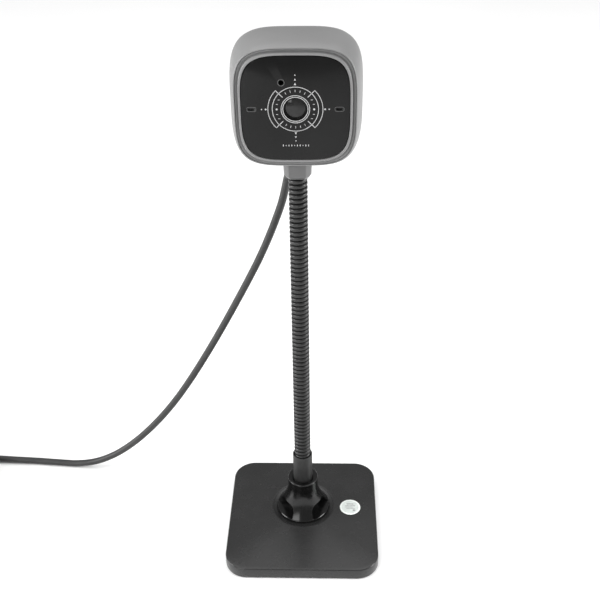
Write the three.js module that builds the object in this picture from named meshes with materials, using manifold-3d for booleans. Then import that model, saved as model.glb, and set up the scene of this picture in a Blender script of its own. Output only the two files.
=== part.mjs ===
// Desk webcam: a camera head on a flexible gooseneck, which stands in a fluted collar on a weighted
// square base. The signal cord leaves the back of the head, hangs to the desk and is put away as a
// tied coil that ends in a USB-A plug. Millimetres, +Z up, the lens looks along -Y, and the origin is
// on the desk under the middle of the base.
import * as THREE from "three";
import { mergeVertices } from "three/addons/utils/BufferGeometryUtils.js";
import Module from "manifold-3d";

const wasm = await Module();
wasm.setup();

// ---------------------------------------------------------------- driving dimensions

const GAP = 0.3; // clearance between pieces that touch on the real object
const WIDE_GAP = 0.6; // clearance round a stud or a spigot in its hole

// base
const BASE_SIDE = 90;
const BASE_CORNER = 13; // radius of the plan's corners
const SKIRT_BOTTOM = 0.5; // the cover's lower edge, above the desk
const BASE_EDGE_TOP = 7.6; // top of the cover at its edge
const BASE_CROWN = 1.2; // rise of the top from the edge to the middle
const BASE_WALL = 2;
const EDGE_ROUND = 0.7; // rounding of the cover's upper edge
const PLATE_THICK = 1.2;
const PLATE_BOTTOM = 0.9;
const FOOT_RADIUS = 5;
const FOOT_THICK = 0.6;
const FOOT_INSET = 13; // from the base's side to the middle of a foot
const WEIGHT_INSET = 6; // from the base's side to the weight
const WEIGHT_THICK = 2.8;
const WEIGHT_HOLE_RADIUS = 11;
const PLATE_SCREW_INSET = 7.5;
const PLATE_SCREW_RADIUS = 1.5;
const PLATE_SCREW_HEAD_RADIUS = 2.6;
const LABEL_RADIUS = 6.3;
const LABEL_THICK = 0.15;
const LABEL_X = 29;
const LABEL_Y = 4;

// stem, collar and sleeve
const STEM_Y = 6.4; // the stem stands a little behind the middle of the base
const COLLAR_RADIUS = 16; // foot of the collar
const COLLAR_TOP_RADIUS = 9;
const COLLAR_HEIGHT = 24;
const COLLAR_RIM = 1.4; // thickness of the collar's round foot
const COLLAR_NECK = 6; // plain height below the collar's top
const POCKETS = 3; // hollows round the collar, with a rib between each pair
const POCKET_TOP = 8.6; // height of a pocket's arch
const POCKET_SPREAD = 36; // half of the angle that a pocket takes, degrees
const POCKET_WALL_RADIUS = 9.6; // back wall of a pocket
const RECESS_RADIUS = 18.6; // shallow round seat in the base's top
const RECESS_FLOOR = 8.1;
const STUD_RADIUS = 4;
const NUT_ACROSS = 14;
const NUT_THICK = 1.4;
const WASHER_RADIUS = 9;
const WASHER_THICK = 0.6;
const SLEEVE_RADIUS = 5.75;
const SLEEVE_LENGTH = 20.6;
const SLEEVE_SEAT = 2; // depth of the sleeve's seat in the collar

// gooseneck
const HOSE_RADIUS = 4.8;
const HOSE_JOINTS = 8;
const JOINT_STEP = 22;
const HOSE_FOOT = 14.2; // free hose between the sleeve and the lowest joint
const HOSE_END = 14.2; // free hose between the highest joint and the neck
const BALL_RADIUS = 2.6;
const FACE_GAP = 1.1; // half the gap between two segments at their joint
const HOSE_IN_SLEEVE = 6;
const HOSE_IN_NECK = 5;

// head
const FACE_SETOUT = 17.4; // the front panel's plane, ahead of the stem's axis
const PANEL_HALF = 24.65;
const PANEL_THICK = 2;
const BEZEL_WIDTH = 2.75;
const BEZEL_LIP = 0.85; // width of the bezel's bright front land
const SHELL_WALL = 1.9;
const SHELL_SWELL = 3.6; // how far the shell stands out past the bezel at its widest
const SHELL_SPLIT = -26; // depth of the joint between the shell and the rear cover
const MIC_INSET = 4.65; // from the panel's side to the middle of a microphone slot
const MIC_SLOT_LENGTH = 3.4;
const MIC_SLOT_HEIGHT = 1.3;
const LED_HOLE_X = -6.3;
const LED_HOLE_Y = 12.5;
const LED_HOLE_RADIUS = 1.15;
const LENS_RADIUS = 4.9;
const PCB_SIDE_INSET = 3.65; // from the panel's outline to the circuit board's
const PCB_END_INSET = 5.65;
const PCB_THICK = 1.6;
const PCB_FRONT = -14; // depth of the circuit board's front face
const BOSS_SIDE_INSET = 4; // from the board's sides to the middle of a screw
const BOSS_END_INSET = 5;
const SOCKET_INSET = 6;
const NECK_WIDTH = 14.2;
const NECK_FACE = 8.6; // width of the neck's flat front
const NECK_HEIGHT = 9;
const SPIGOT_RADIUS = 4.6; // of the neck's stub inside the shell
const NECK_NUT_RADIUS = 8;
const NECK_NUT_THICK = 2.5;
const NECK_SEAT_GAP = 0.7; // from the neck's top to the lowest point of the rounded shell

// cord
const CORD_RADIUS = 2.1;
const RELIEF_X = -3.5;
const RELIEF_DEPTH = [28.6, 36.6]; // start and end of the strain relief, behind the front panel
const RELIEF_DROP = [-7, 6.8]; // and below the shell's underside
const HANGING_ROUTE = [
  [-3.5, 25.8, 235.95],
  [-3.6, 27.3, 233.2],
  [-4.6, 28.7, 228.2],
  [-6.5, 29.4, 220],
  [-9.2, 29.5, 208],
  [-13.2, 30.2, 195.7],
  [-18, 31, 182.9],
  [-23.5, 31.8, 169.8],
  [-29.9, 33, 156],
  [-36.8, 34.1, 141.8],
  [-44.1, 35.5, 127],
  [-51.9, 36.9, 111.8],
  [-60.4, 38.3, 95.9],
  [-69.6, 39.7, 79.6],
  [-80.1, 41.2, 62.6],
  [-92.6, 42.6, 45.3],
  [-108.6, 44, 27.2],
  [-124.5, 45.4, 13.6],
  [-139, 46.6, 5.8],
  [-152, 47.8, 2.7],
  [-164, 49, 2.2],
  [-172, 49.7, 2.2],
];
const DESK_ROUTE = [
  [-172, 49.7, 2.2],
  [-180, 50.4, 2.2],
  [-200, 51.5, 2.4],
  [-219.8, 52.1, 3.2],
];
const TAIL_ROUTE = [
  [-262.1, 11.2, 15.4],
  [-262, 4, 14],
  [-260.8, -6, 8.8],
  [-259.4, -16, 5.2],
  [-258.6, -25, 4.3],
  [-258.5, -30, 4.2],
];
const COIL_X = -236;
const COIL_Y = 26;
const COIL_RADIUS = 24; // middle of the turns
const COIL_COLUMNS = 2;
const COIL_LAYERS = 4;
const TIE_THICK = 0.8;
const TIE_WIDTH = 9;
const PLUG_X = -258.5;
const PLUG_BACK_Y = -30.3;
const PLUG_BODY_LENGTH = 21;
const PLUG_BODY_WIDTH = 14.5;
const PLUG_BODY_HEIGHT = 7.6;
const PLUG_SHELL_LENGTH = 18.6;
const PLUG_SHELL_WIDTH = 12;
const PLUG_SHELL_HEIGHT = 4.5;
const PLUG_SHELL_WALL = 0.4;

// ---------------------------------------------------------------- places that follow from them

const collarBottom = RECESS_FLOOR + GAP;
const collarTop = collarBottom + COLLAR_HEIGHT;
const sleeveBottom = collarTop - SLEEVE_SEAT;
const sleeveTop = sleeveBottom + SLEEVE_LENGTH;
const hoseBottom = sleeveTop - HOSE_IN_SLEEVE;
const studTop = hoseBottom - 2 * GAP;
const firstJoint = sleeveTop + HOSE_FOOT;
const lastJoint = firstJoint + (HOSE_JOINTS - 1) * JOINT_STEP;
const neckBottom = lastJoint + HOSE_END;
const neckTop = neckBottom + NECK_HEIGHT;
const hoseTop = neckBottom + HOSE_IN_NECK;
const bezelHalf = PANEL_HALF + BEZEL_WIDTH;
const shellBottom = neckTop + NECK_SEAT_GAP;
const widest = bezelHalf + SHELL_SWELL;
const headZ = shellBottom + widest;
const faceY = STEM_Y - FACE_SETOUT;
const micOffset = PANEL_HALF - MIC_INSET;
const pcbWidth = 2 * (PANEL_HALF - PCB_SIDE_INSET);
const pcbHeight = 2 * (PANEL_HALF - PCB_END_INSET);
const bossX = pcbWidth / 2 - BOSS_SIDE_INSET;
const bossY = pcbHeight / 2 - BOSS_END_INSET;

// ---------------------------------------------------------------- materials

function finish(color, roughness, metalness) {
  return new THREE.MeshStandardMaterial({ color, roughness, metalness });
}

const greyPlastic = finish(0x8e8f90, 0.5, 0);
const blackSatin = finish(0x1b1b1c, 0.45, 0);
const blackGloss = finish(0x0f0f10, 0.2, 0);
const basePlastic = finish(0x3c3c3d, 0.6, 0);
const darkMetal = finish(0x1f1f21, 0.4, 0.6);
const steel = finish(0x9a9ca0, 0.35, 1);
const rubber = finish(0x121212, 0.85, 0);
const acrylic = finish(0x161617, 0.08, 0);
const glass = finish(0x20242c, 0.03, 0);
const circuitBoard = finish(0x0f4a2c, 0.5, 0);
const chip = finish(0x17181a, 0.5, 0);
const whitePaper = finish(0xe6ece6, 0.6, 0);
const whitePlastic = finish(0xe8e8e4, 0.5, 0);

// ---------------------------------------------------------------- shape helpers

function solid(geometry) {
  const bare = geometry.clone();
  bare.deleteAttribute("normal");
  bare.deleteAttribute("uv");
  const merged = mergeVertices(bare, 1e-4);
  return new wasm.Manifold(
    new wasm.Mesh({
      numProp: 3,
      vertProperties: new Float32Array(merged.attributes.position.array),
      triVerts: new Uint32Array(merged.index.array),
    }),
  );
}

function shape(manifold) {
  const mesh = manifold.getMesh();
  const geometry = new THREE.BufferGeometry();
  geometry.setAttribute("position", new THREE.BufferAttribute(mesh.vertProperties, 3));
  geometry.setIndex(new THREE.BufferAttribute(mesh.triVerts, 1));
  return geometry;
}

function cut(body, ...tools) {
  return shape(tools.reduce((rest, tool) => rest.subtract(solid(tool)), solid(body)));
}

function join(...parts) {
  return shape(parts.slice(1).reduce((whole, part) => whole.add(solid(part)), solid(parts[0])));
}

function moved(geometry, x, y, z) {
  return geometry.translate(x, y, z);
}

// A closed body through a stack of outlines with the same number of points, lowest first.
function loft(outlines) {
  const count = outlines[0].length;
  const points = outlines.flat();
  const faces = [];
  for (let level = 0; level + 1 < outlines.length; level += 1) {
    for (let i = 0; i < count; i += 1) {
      const a = level * count + i;
      const b = level * count + ((i + 1) % count);
      faces.push(a, b, b + count, a, b + count, a + count);
    }
  }
  const top = (outlines.length - 1) * count;
  const contour = (start) => points.slice(start, start + count).map((p) => new THREE.Vector2(p.x, p.y));
  for (const [a, b, c] of THREE.ShapeUtils.triangulateShape(contour(0), [])) {
    faces.push(a, c, b);
  }
  for (const [a, b, c] of THREE.ShapeUtils.triangulateShape(contour(top), [])) {
    faces.push(top + a, top + b, top + c);
  }
  const geometry = new THREE.BufferGeometry().setFromPoints(points);
  geometry.setIndex(faces);
  return geometry;
}

// Square outline with round corners, as a ring of points at height z.
function roundedSquare(side, corner, z, steps = 4) {
  const reach = side / 2 - corner;
  const centres = [
    [reach, reach],
    [-reach, reach],
    [-reach, -reach],
    [reach, -reach],
  ];
  const ring = [];
  centres.forEach(([x, y], quarter) => {
    for (let i = 0; i <= steps; i += 1) {
      const angle = ((quarter + i / steps) * Math.PI) / 2;
      ring.push(new THREE.Vector3(x + corner * Math.cos(angle), y + corner * Math.sin(angle), z));
    }
  });
  return ring;
}

// Squircle |x|^4 + |y|^4 = half^4, as a ring of points at height z.
function squircle(half, z, count = 40) {
  const ring = [];
  for (let i = 0; i < count; i += 1) {
    const angle = (i / count) * 2 * Math.PI;
    const c = Math.cos(angle);
    const s = Math.sin(angle);
    const x = half * Math.sign(c) * Math.sqrt(Math.abs(c));
    const y = half * Math.sign(s) * Math.sqrt(Math.abs(s));
    ring.push(new THREE.Vector3(x, y, z));
  }
  return ring;
}

// Round body about +Z from [radius, height] pairs.
function lathe(profile, sides = 20) {
  return new THREE.LatheGeometry(
    profile.map(([radius, height]) => new THREE.Vector2(radius, height)),
    sides,
  ).rotateX(Math.PI / 2);
}

function disc(radius, bottom, top, sides = 16) {
  return moved(new THREE.CylinderGeometry(radius, radius, top - bottom, sides).rotateX(Math.PI / 2), 0, 0,
    (bottom + top) / 2);
}

function box(width, depth, bottom, top) {
  return moved(new THREE.BoxGeometry(width, depth, top - bottom), 0, 0, (bottom + top) / 2);
}

function block(side, corner, bottom, top) {
  return loft([roundedSquare(side, corner, bottom), roundedSquare(side, corner, top)]);
}

// Round cord along a smooth curve through the points of its route.
function tube(route, sides = 8) {
  const curve = new THREE.CatmullRomCurve3(route.map((point) => new THREE.Vector3(...point)));
  const section = new THREE.Shape();
  section.absarc(0, 0, CORD_RADIUS, 0, 2 * Math.PI, false);
  const steps = Math.ceil(curve.getLength() / (5 * CORD_RADIUS));
  return new THREE.ExtrudeGeometry(section, {
    extrudePath: curve,
    steps,
    curveSegments: sides / 2,
    bevelEnabled: false,
  });
}

const UP = new THREE.Vector3(0, 0, 1);
const model = new THREE.Group();

function add(group, name, geometry, material, place = [0, 0, 0]) {
  const mesh = new THREE.Mesh(geometry, material);
  mesh.name = name;
  mesh.position.set(...place);
  group.add(mesh);
  return mesh;
}

// The four places at (+-x, +-y).
function corners(x, y) {
  return [
    [x, y],
    [-x, y],
    [-x, -y],
    [x, -y],
  ];
}

// ---------------------------------------------------------------- base

const screwReach = BASE_SIDE / 2 - PLATE_SCREW_INSET;

function crownRings(side, corner, edgeZ, crown) {
  const rings = [];
  const levels = 3;
  for (let i = 0; i <= levels; i += 1) {
    const share = 1 - (0.9 * i) / levels;
    rings.push(roundedSquare(side * share, corner * share, edgeZ + crown * (1 - share * share)));
  }
  return rings;
}

function baseCover() {
  const inner = BASE_SIDE - 2 * BASE_WALL;
  const innerCorner = BASE_CORNER - BASE_WALL;
  const ceiling = BASE_EDGE_TOP - BASE_WALL;
  const outside = loft([
    roundedSquare(BASE_SIDE, BASE_CORNER, SKIRT_BOTTOM),
    roundedSquare(BASE_SIDE, BASE_CORNER, BASE_EDGE_TOP - EDGE_ROUND),
    ...crownRings(BASE_SIDE - 2 * EDGE_ROUND, BASE_CORNER - EDGE_ROUND, BASE_EDGE_TOP, BASE_CROWN),
  ]);
  const inside = block(inner, innerCorner, SKIRT_BOTTOM - 1, ceiling);
  const seat = moved(disc(RECESS_RADIUS, RECESS_FLOOR, RECESS_FLOOR + 5, 32), 0, STEM_Y, 0);
  const studHole = moved(disc(STUD_RADIUS + WIDE_GAP, 0, RECESS_FLOOR + 5), 0, STEM_Y, 0);
  const screwPosts = corners(screwReach, screwReach).map(([x, y]) =>
    moved(disc(PLATE_SCREW_HEAD_RADIUS, PLATE_BOTTOM + PLATE_THICK + GAP, ceiling + 1, 12), x, y, 0),
  );
  const screwHoles = corners(screwReach, screwReach).map(([x, y]) =>
    moved(disc(PLATE_SCREW_RADIUS + GAP, 0, ceiling, 12), x, y, 0),
  );
  return cut(join(cut(outside, inside, seat, studHole), ...screwPosts), ...screwHoles);
}

function basePlate() {
  const side = BASE_SIDE - 2 * BASE_WALL - 2 * GAP;
  const plate = block(side, BASE_CORNER - BASE_WALL - GAP, PLATE_BOTTOM, PLATE_BOTTOM + PLATE_THICK);
  const screwHoles = corners(screwReach, screwReach).map(([x, y]) =>
    moved(disc(PLATE_SCREW_RADIUS + GAP, 0, BASE_EDGE_TOP, 12), x, y, 0),
  );
  return cut(plate, ...screwHoles);
}

function baseWeight() {
  const bottom = PLATE_BOTTOM + PLATE_THICK + GAP;
  const slab = block(BASE_SIDE - 2 * WEIGHT_INSET, BASE_CORNER, bottom, bottom + WEIGHT_THICK);
  const nutHole = moved(disc(WEIGHT_HOLE_RADIUS, 0, BASE_EDGE_TOP), 0, STEM_Y, 0);
  const postHoles = corners(screwReach, screwReach).map(([x, y]) =>
    moved(disc(PLATE_SCREW_HEAD_RADIUS + WIDE_GAP, 0, BASE_EDGE_TOP, 12), x, y, 0),
  );
  return cut(slab, nutHole, ...postHoles);
}

function plateScrew() {
  const headTop = PLATE_BOTTOM - GAP / 2;
  const tip = BASE_EDGE_TOP - BASE_WALL - GAP;
  return lathe(
    [
      [0, GAP],
      [PLATE_SCREW_HEAD_RADIUS, GAP],
      [PLATE_SCREW_HEAD_RADIUS, headTop],
      [PLATE_SCREW_RADIUS, headTop],
      [PLATE_SCREW_RADIUS, tip],
      [0, tip],
    ],
    12,
  );
}

const footReach = BASE_SIDE / 2 - FOOT_INSET - FOOT_RADIUS;
// Height of the domed top at a distance from the middle of the base.
function crownHeight(distance) {
  return BASE_EDGE_TOP + BASE_CROWN * (1 - ((2 * distance) / BASE_SIDE) ** 2);
}

const labelZ = crownHeight(LABEL_X - LABEL_RADIUS) + GAP / 5;

add(model, "base_cover", baseCover(), basePlastic);
add(model, "base_weight", baseWeight(), steel);
add(model, "base_plate", basePlate(), darkMetal);
corners(screwReach, screwReach).forEach(([x, y], i) => {
  add(model, `plate_screw_${i + 1}`, plateScrew(), steel, [x, y, 0]);
});
corners(footReach, footReach).forEach(([x, y], i) => {
  add(model, `rubber_foot_${i + 1}`, disc(FOOT_RADIUS, 0, FOOT_THICK, 16), rubber, [x, y, 0]);
});
add(model, "round_label", disc(LABEL_RADIUS, 0, LABEL_THICK, 24), whitePaper, [LABEL_X, LABEL_Y, labelZ]);

// ---------------------------------------------------------------- collar, stud and sleeve

const ceilingZ = BASE_EDGE_TOP - BASE_WALL;
const stem = new THREE.Group();
stem.position.set(0, STEM_Y, 0);
model.add(stem);

// Radius of the collar at a height and an angle. The collar flares out to its foot, and pockets with
// arched tops are sunk into the flare. One of the ribs that are left between them is in front.
function collarRadius(height, angle) {
  const flare = Math.max(0, 1 - (height - COLLAR_RIM) / (COLLAR_HEIGHT - COLLAR_NECK - COLLAR_RIM));
  const bell = COLLAR_TOP_RADIUS + (COLLAR_RADIUS - 0.4 - COLLAR_TOP_RADIUS) * flare ** 1.7;
  const spacing = 360 / POCKETS;
  const turn = THREE.MathUtils.radToDeg(angle) - 90 + spacing / 2;
  const away = Math.abs(THREE.MathUtils.euclideanModulo(turn, spacing) - spacing / 2);
  const reach = ((away / POCKET_SPREAD) ** 4 + (height / POCKET_TOP) ** 4) ** 0.25;
  const share = THREE.MathUtils.smoothstep(1 - reach, 0, 0.16);
  return bell * (1 - share) + Math.min(bell, POCKET_WALL_RADIUS) * share;
}

function collar() {
  const sides = 72;
  const rings = [];
  const ring = (radiusAt, height) => {
    const points = [];
    for (let i = 0; i < sides; i += 1) {
      const angle = (i / sides) * 2 * Math.PI;
      const point = new THREE.Vector3(radiusAt(angle), 0, collarBottom + height);
      points.push(point.applyAxisAngle(UP, angle));
    }
    return points;
  };
  rings.push(ring(() => COLLAR_RADIUS, 0));
  rings.push(ring(() => COLLAR_RADIUS, COLLAR_RIM - 0.3));
  const levels = 16;
  for (let i = 0; i <= levels; i += 1) {
    const height = COLLAR_RIM + ((COLLAR_HEIGHT - COLLAR_NECK - COLLAR_RIM) * i) / levels;
    rings.push(ring((angle) => collarRadius(height, angle), height));
  }
  rings.push(ring(() => COLLAR_TOP_RADIUS, COLLAR_HEIGHT - 0.6));
  rings.push(ring(() => COLLAR_TOP_RADIUS - 0.6, COLLAR_HEIGHT));
  const bore = disc(STUD_RADIUS + WIDE_GAP, 0, collarTop + 1);
  const seat = disc(SLEEVE_RADIUS + GAP, sleeveBottom - GAP, collarTop + 1);
  return cut(loft(rings), bore, seat);
}

const nutBottom = ceilingZ - GAP - WASHER_THICK - GAP - NUT_THICK;
const nutRadius = NUT_ACROSS / Math.sqrt(3);
const threadHole = disc(STUD_RADIUS + GAP, 0, collarTop);

add(stem, "fluted_collar", collar(), blackGloss);
add(stem, "stem_stud", disc(STUD_RADIUS, nutBottom - 0.2, studTop), steel);
const washerTop = ceilingZ - GAP;
add(stem, "stem_washer", cut(disc(WASHER_RADIUS, washerTop - WASHER_THICK, washerTop), threadHole), steel);
add(stem, "stem_nut", cut(disc(nutRadius, nutBottom, nutBottom + NUT_THICK, 6), threadHole), steel);
add(
  stem,
  "stem_sleeve",
  cut(
    disc(SLEEVE_RADIUS, sleeveBottom, sleeveTop),
    disc(STUD_RADIUS + GAP, 0, sleeveTop),
    disc(HOSE_RADIUS + GAP, hoseBottom - GAP, sleeveTop + 1),
  ),
  blackSatin,
);

// ---------------------------------------------------------------- gooseneck

// One length of hose from z = bottom to z = top. A ball stands on the end at a joint above it, and a
// cup is cut into the end at a joint below it, both centred on the joint.
function hoseLength(bottom, top, cupBelow, ballAbove) {
  const cupRadius = BALL_RADIUS + GAP;
  const arcSteps = 3;
  const profile = [];
  if (cupBelow) {
    const start = Math.asin(FACE_GAP / cupRadius);
    for (let i = 0; i <= arcSteps; i += 1) {
      const angle = Math.PI / 2 + ((start - Math.PI / 2) * i) / arcSteps;
      profile.push([i === 0 ? 0 : cupRadius * Math.cos(angle), bottom + cupRadius * Math.sin(angle)]);
    }
    profile.push([HOSE_RADIUS, bottom + FACE_GAP]);
  } else {
    profile.push([0, bottom], [HOSE_RADIUS, bottom]);
  }
  if (ballAbove) {
    profile.push([HOSE_RADIUS, top - FACE_GAP]);
    const start = Math.asin(-FACE_GAP / BALL_RADIUS);
    for (let i = 0; i <= arcSteps; i += 1) {
      const angle = start + ((Math.PI / 2 - start) * i) / arcSteps;
      profile.push([i === arcSteps ? 0 : BALL_RADIUS * Math.cos(angle), top + BALL_RADIUS * Math.sin(angle)]);
    }
  } else {
    profile.push([HOSE_RADIUS, top], [0, top]);
  }
  return lathe(profile, 16);
}

add(stem, "gooseneck_foot", hoseLength(hoseBottom, firstJoint, false, true), blackSatin);
for (let i = 1; i < HOSE_JOINTS; i += 1) {
  const bottom = firstJoint + (i - 1) * JOINT_STEP;
  const name = `gooseneck_segment_${String(i).padStart(2, "0")}`;
  add(stem, name, hoseLength(bottom, bottom + JOINT_STEP, true, true), blackSatin);
}
add(stem, "gooseneck_end", hoseLength(lastJoint, hoseTop, true, false), blackSatin);

// ---------------------------------------------------------------- neck

// Half of the neck's plan: a flat front, sloping flanks and straight sides.
function neckOutline(width, z) {
  const half = width / 2;
  const face = NECK_FACE / 2;
  const flank = half - (half - face) / 2;
  return [
    [face, -half],
    [half - 0.6, -flank + 1.4],
    [half, -flank + 3],
    [half, flank - 3],
    [half - 0.6, flank - 1.4],
    [face, half],
    [-face, half],
    [-half + 0.6, flank - 1.4],
    [-half, flank - 3],
    [-half, -flank + 3],
    [-half + 0.6, -flank + 1.4],
    [-face, -half],
  ].map(([x, y]) => new THREE.Vector3(x, y, z));
}

function neck() {
  const body = loft([
    neckOutline(NECK_WIDTH - 4, neckBottom),
    neckOutline(NECK_WIDTH - 1, neckBottom + 2.2),
    neckOutline(NECK_WIDTH, neckTop),
  ]);
  const spigot = disc(SPIGOT_RADIUS, neckTop - 1, shellBottom + SHELL_WALL + 6);
  const bore = disc(HOSE_RADIUS + GAP, neckBottom - 1, hoseTop + GAP);
  return cut(join(body, spigot), bore);
}

const neckNutBottom = shellBottom + SHELL_WALL + 1;
const neckNutTop = neckNutBottom + NECK_NUT_THICK;
add(stem, "neck", neck(), greyPlastic);
add(
  stem,
  "neck_nut",
  cut(disc(NECK_NUT_RADIUS, neckNutBottom, neckNutTop, 6), disc(SPIGOT_RADIUS + GAP, neckBottom, headZ)),
  steel,
);

// ---------------------------------------------------------------- head

// The head's group looks forward: its +Z points out of the lens and its +Y points up.
const head = new THREE.Group();
head.position.set(0, faceY, headZ);
head.rotation.x = Math.PI / 2;
model.add(head);

// [depth, half width] of the shell's and the rear cover's outside, from the back to the front.
const REAR_SKIN = [
  [SHELL_SPLIT - 9.4, widest - 17],
  [SHELL_SPLIT - 8.9, widest - 12],
  [SHELL_SPLIT - 7.4, widest - 7.6],
  [SHELL_SPLIT - 4.8, widest - 3.7],
  [SHELL_SPLIT - 2.4, widest - 1.8],
  [SHELL_SPLIT - GAP, widest - 0.8],
];
const SHELL_SKIN = [
  [SHELL_SPLIT, widest - 0.7],
  [SHELL_SPLIT + 4, widest - 0.1],
  [SHELL_SPLIT + 9, widest],
  [-11, widest - 0.5],
  [-6, widest - 1.3],
  [-2.8, widest - 2.1],
  [-1.5, widest - 2.8],
];
const shellMouth = bezelHalf + GAP;

function skin(levels) {
  return loft(levels.map(([depth, half]) => squircle(half, depth)));
}

const neckAxisDepth = -FACE_SETOUT;

function headShell() {
  const hollow = [[SHELL_SPLIT - 1, widest - 0.7 - SHELL_WALL]];
  SHELL_SKIN.slice(1, -3).forEach(([depth, half]) => hollow.push([depth, half - SHELL_WALL]));
  hollow.push([-5, shellMouth], [0, shellMouth]);
  const neckHole = disc(SPIGOT_RADIUS + GAP, -10, 10).rotateX(Math.PI / 2);
  neckHole.translate(0, -widest, neckAxisDepth);
  return cut(skin(SHELL_SKIN), skin(hollow), neckHole);
}

function reliefAxis() {
  const start = new THREE.Vector3(RELIEF_X, faceY + RELIEF_DEPTH[0], shellBottom - RELIEF_DROP[0]);
  const end = new THREE.Vector3(RELIEF_X, faceY + RELIEF_DEPTH[1], shellBottom - RELIEF_DROP[1]);
  return { start, end, direction: end.clone().sub(start).normalize() };
}

// A round body along the line of the cord's strain relief, in the row's frame.
function alongRelief(radiusStart, radiusEnd, length, sides = 14) {
  const { start, direction } = reliefAxis();
  const body = new THREE.CylinderGeometry(radiusEnd, radiusStart, length, sides).translate(0, length / 2, 0);
  body.applyQuaternion(new THREE.Quaternion().setFromUnitVectors(new THREE.Vector3(0, 1, 0), direction));
  return body.translate(start.x, start.y, start.z);
}

const reliefLength = reliefAxis().end.distanceTo(reliefAxis().start);
const RELIEF_ROOT = 3.5;
const RELIEF_TIP = 2.7;

function rearCover() {
  const hollow = REAR_SKIN.slice(0, -1).map(([depth, half]) => [depth + SHELL_WALL, half - SHELL_WALL]);
  hollow.push([SHELL_SPLIT + 1, widest - 0.8 - SHELL_WALL]);
  const reliefHole = alongRelief(RELIEF_ROOT + GAP, RELIEF_ROOT + GAP, reliefLength);
  reliefHole.translate(-head.position.x, -head.position.y, -head.position.z);
  reliefHole.rotateX(-Math.PI / 2);
  return cut(skin(REAR_SKIN), skin(hollow), reliefHole);
}

const panelBack = -PANEL_THICK;
const ledgeBack = panelBack - GAP - 2;

const bossPlaces = corners(bossX, bossY);

function bezel() {
  const outside = loft([
    squircle(bezelHalf, ledgeBack),
    squircle(bezelHalf, -1.6),
    squircle(PANEL_HALF + GAP + BEZEL_LIP, 0.3),
  ]);
  const panelSeat = loft([squircle(PANEL_HALF + GAP, panelBack - GAP), squircle(PANEL_HALF + GAP, 1)]);
  const opening = loft([squircle(PANEL_HALF - 2.2, ledgeBack - 1), squircle(PANEL_HALF - 2.2, 0)]);
  const ring = cut(outside, panelSeat, opening);
  const arms = bossPlaces.map(([x, y]) =>
    moved(new THREE.BoxGeometry(8, 3, 2), x + Math.sign(x) * 4, y, ledgeBack + 1),
  );
  const bosses = bossPlaces.map(([x, y]) =>
    moved(disc(2.4, PCB_FRONT + GAP, ledgeBack + 2, 14), x, y, 0),
  );
  const screwHoles = bossPlaces.map(([x, y]) => moved(disc(1.3, PCB_FRONT - 1, -8, 12), x, y, 0));
  return cut(join(ring, ...arms, ...bosses), ...screwHoles);
}

function frontPanel() {
  const plate = loft([squircle(PANEL_HALF, panelBack), squircle(PANEL_HALF, 0)]);
  const slot = (x) =>
    moved(box(MIC_SLOT_LENGTH, MIC_SLOT_HEIGHT, panelBack - 1, 1), x, 0, 0);
  const ledHole = moved(disc(LED_HOLE_RADIUS, panelBack - 1, 1, 16), LED_HOLE_X, LED_HOLE_Y, 0);
  return cut(plate, slot(micOffset), slot(-micOffset), ledHole);
}

const pcbBack = PCB_FRONT - PCB_THICK;

function circuitPlate() {
  const plate = box(pcbWidth, pcbHeight, pcbBack, PCB_FRONT);
  const holes = bossPlaces.map(([x, y]) => moved(disc(1.3, pcbBack - 1, PCB_FRONT + 1, 12), x, y, 0));
  return cut(plate, ...holes);
}

function lensHolder() {
  const base = box(15, 15, PCB_FRONT + GAP, PCB_FRONT + 4);
  const throat = disc(LENS_RADIUS + 1.6, PCB_FRONT + 3, PCB_FRONT + 8.4, 20);
  return cut(join(base, throat), disc(LENS_RADIUS + GAP, PCB_FRONT - 1, 0, 20));
}

const barrelFront = panelBack - GAP - 0.3;
const barrelBack = PCB_FRONT + 3;

function lensBarrel() {
  const body = disc(LENS_RADIUS, barrelBack, barrelFront, 24);
  const well = lathe(
    [
      [0, barrelFront - 1.6],
      [2.2, barrelFront - 1.6],
      [3.8, barrelFront + 1],
      [0, barrelFront + 1],
    ],
    24,
  );
  const lightPath = disc(1.8, barrelBack - 1, barrelFront);
  return cut(body, well, lightPath);
}

function lensGlass() {
  return lathe(
    [
      [0, barrelFront - 1.3],
      [2.15, barrelFront - 1.3],
      [2.15, barrelFront - 1],
      [1.6, barrelFront - 0.65],
      [0.8, barrelFront - 0.45],
      [0, barrelFront - 0.4],
    ],
    16,
  );
}

function boardScrew() {
  const headBack = pcbBack - GAP;
  return lathe(
    [
      [0, headBack - 1.2],
      [2, headBack - 1.2],
      [2, headBack],
      [1, headBack],
      [1, -9],
      [0, -9],
    ],
    12,
  );
}

add(head, "head_shell", headShell(), greyPlastic);
add(head, "rear_cover", rearCover(), greyPlastic);
add(head, "front_bezel", bezel(), greyPlastic);
add(head, "front_panel", frontPanel(), acrylic);
add(head, "main_board", circuitPlate(), circuitBoard);
bossPlaces.forEach(([x, y], i) => {
  add(head, `board_screw_${i + 1}`, boardScrew(), steel, [x, y, 0]);
});
add(head, "lens_holder", lensHolder(), chip);
add(head, "lens_barrel", lensBarrel(), blackSatin);
add(head, "lens_glass", lensGlass(), glass);
add(head, "image_sensor", box(6.4, 6.4, PCB_FRONT + GAP, PCB_FRONT + 1.5), chip);
add(head, "usb_controller", box(9, 9, pcbBack - GAP - 1, pcbBack - GAP), chip, [-9, 0, 0]);
add(head, "crystal_can", box(5, 3.2, pcbBack - GAP - 1.4, pcbBack - GAP), steel, [3, 4, 0]);
add(head, "cord_socket", box(9, 5.5, pcbBack - GAP - 4.5, pcbBack - GAP), whitePlastic, [
  0,
  SOCKET_INSET - pcbHeight / 2,
  0,
]);
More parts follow.
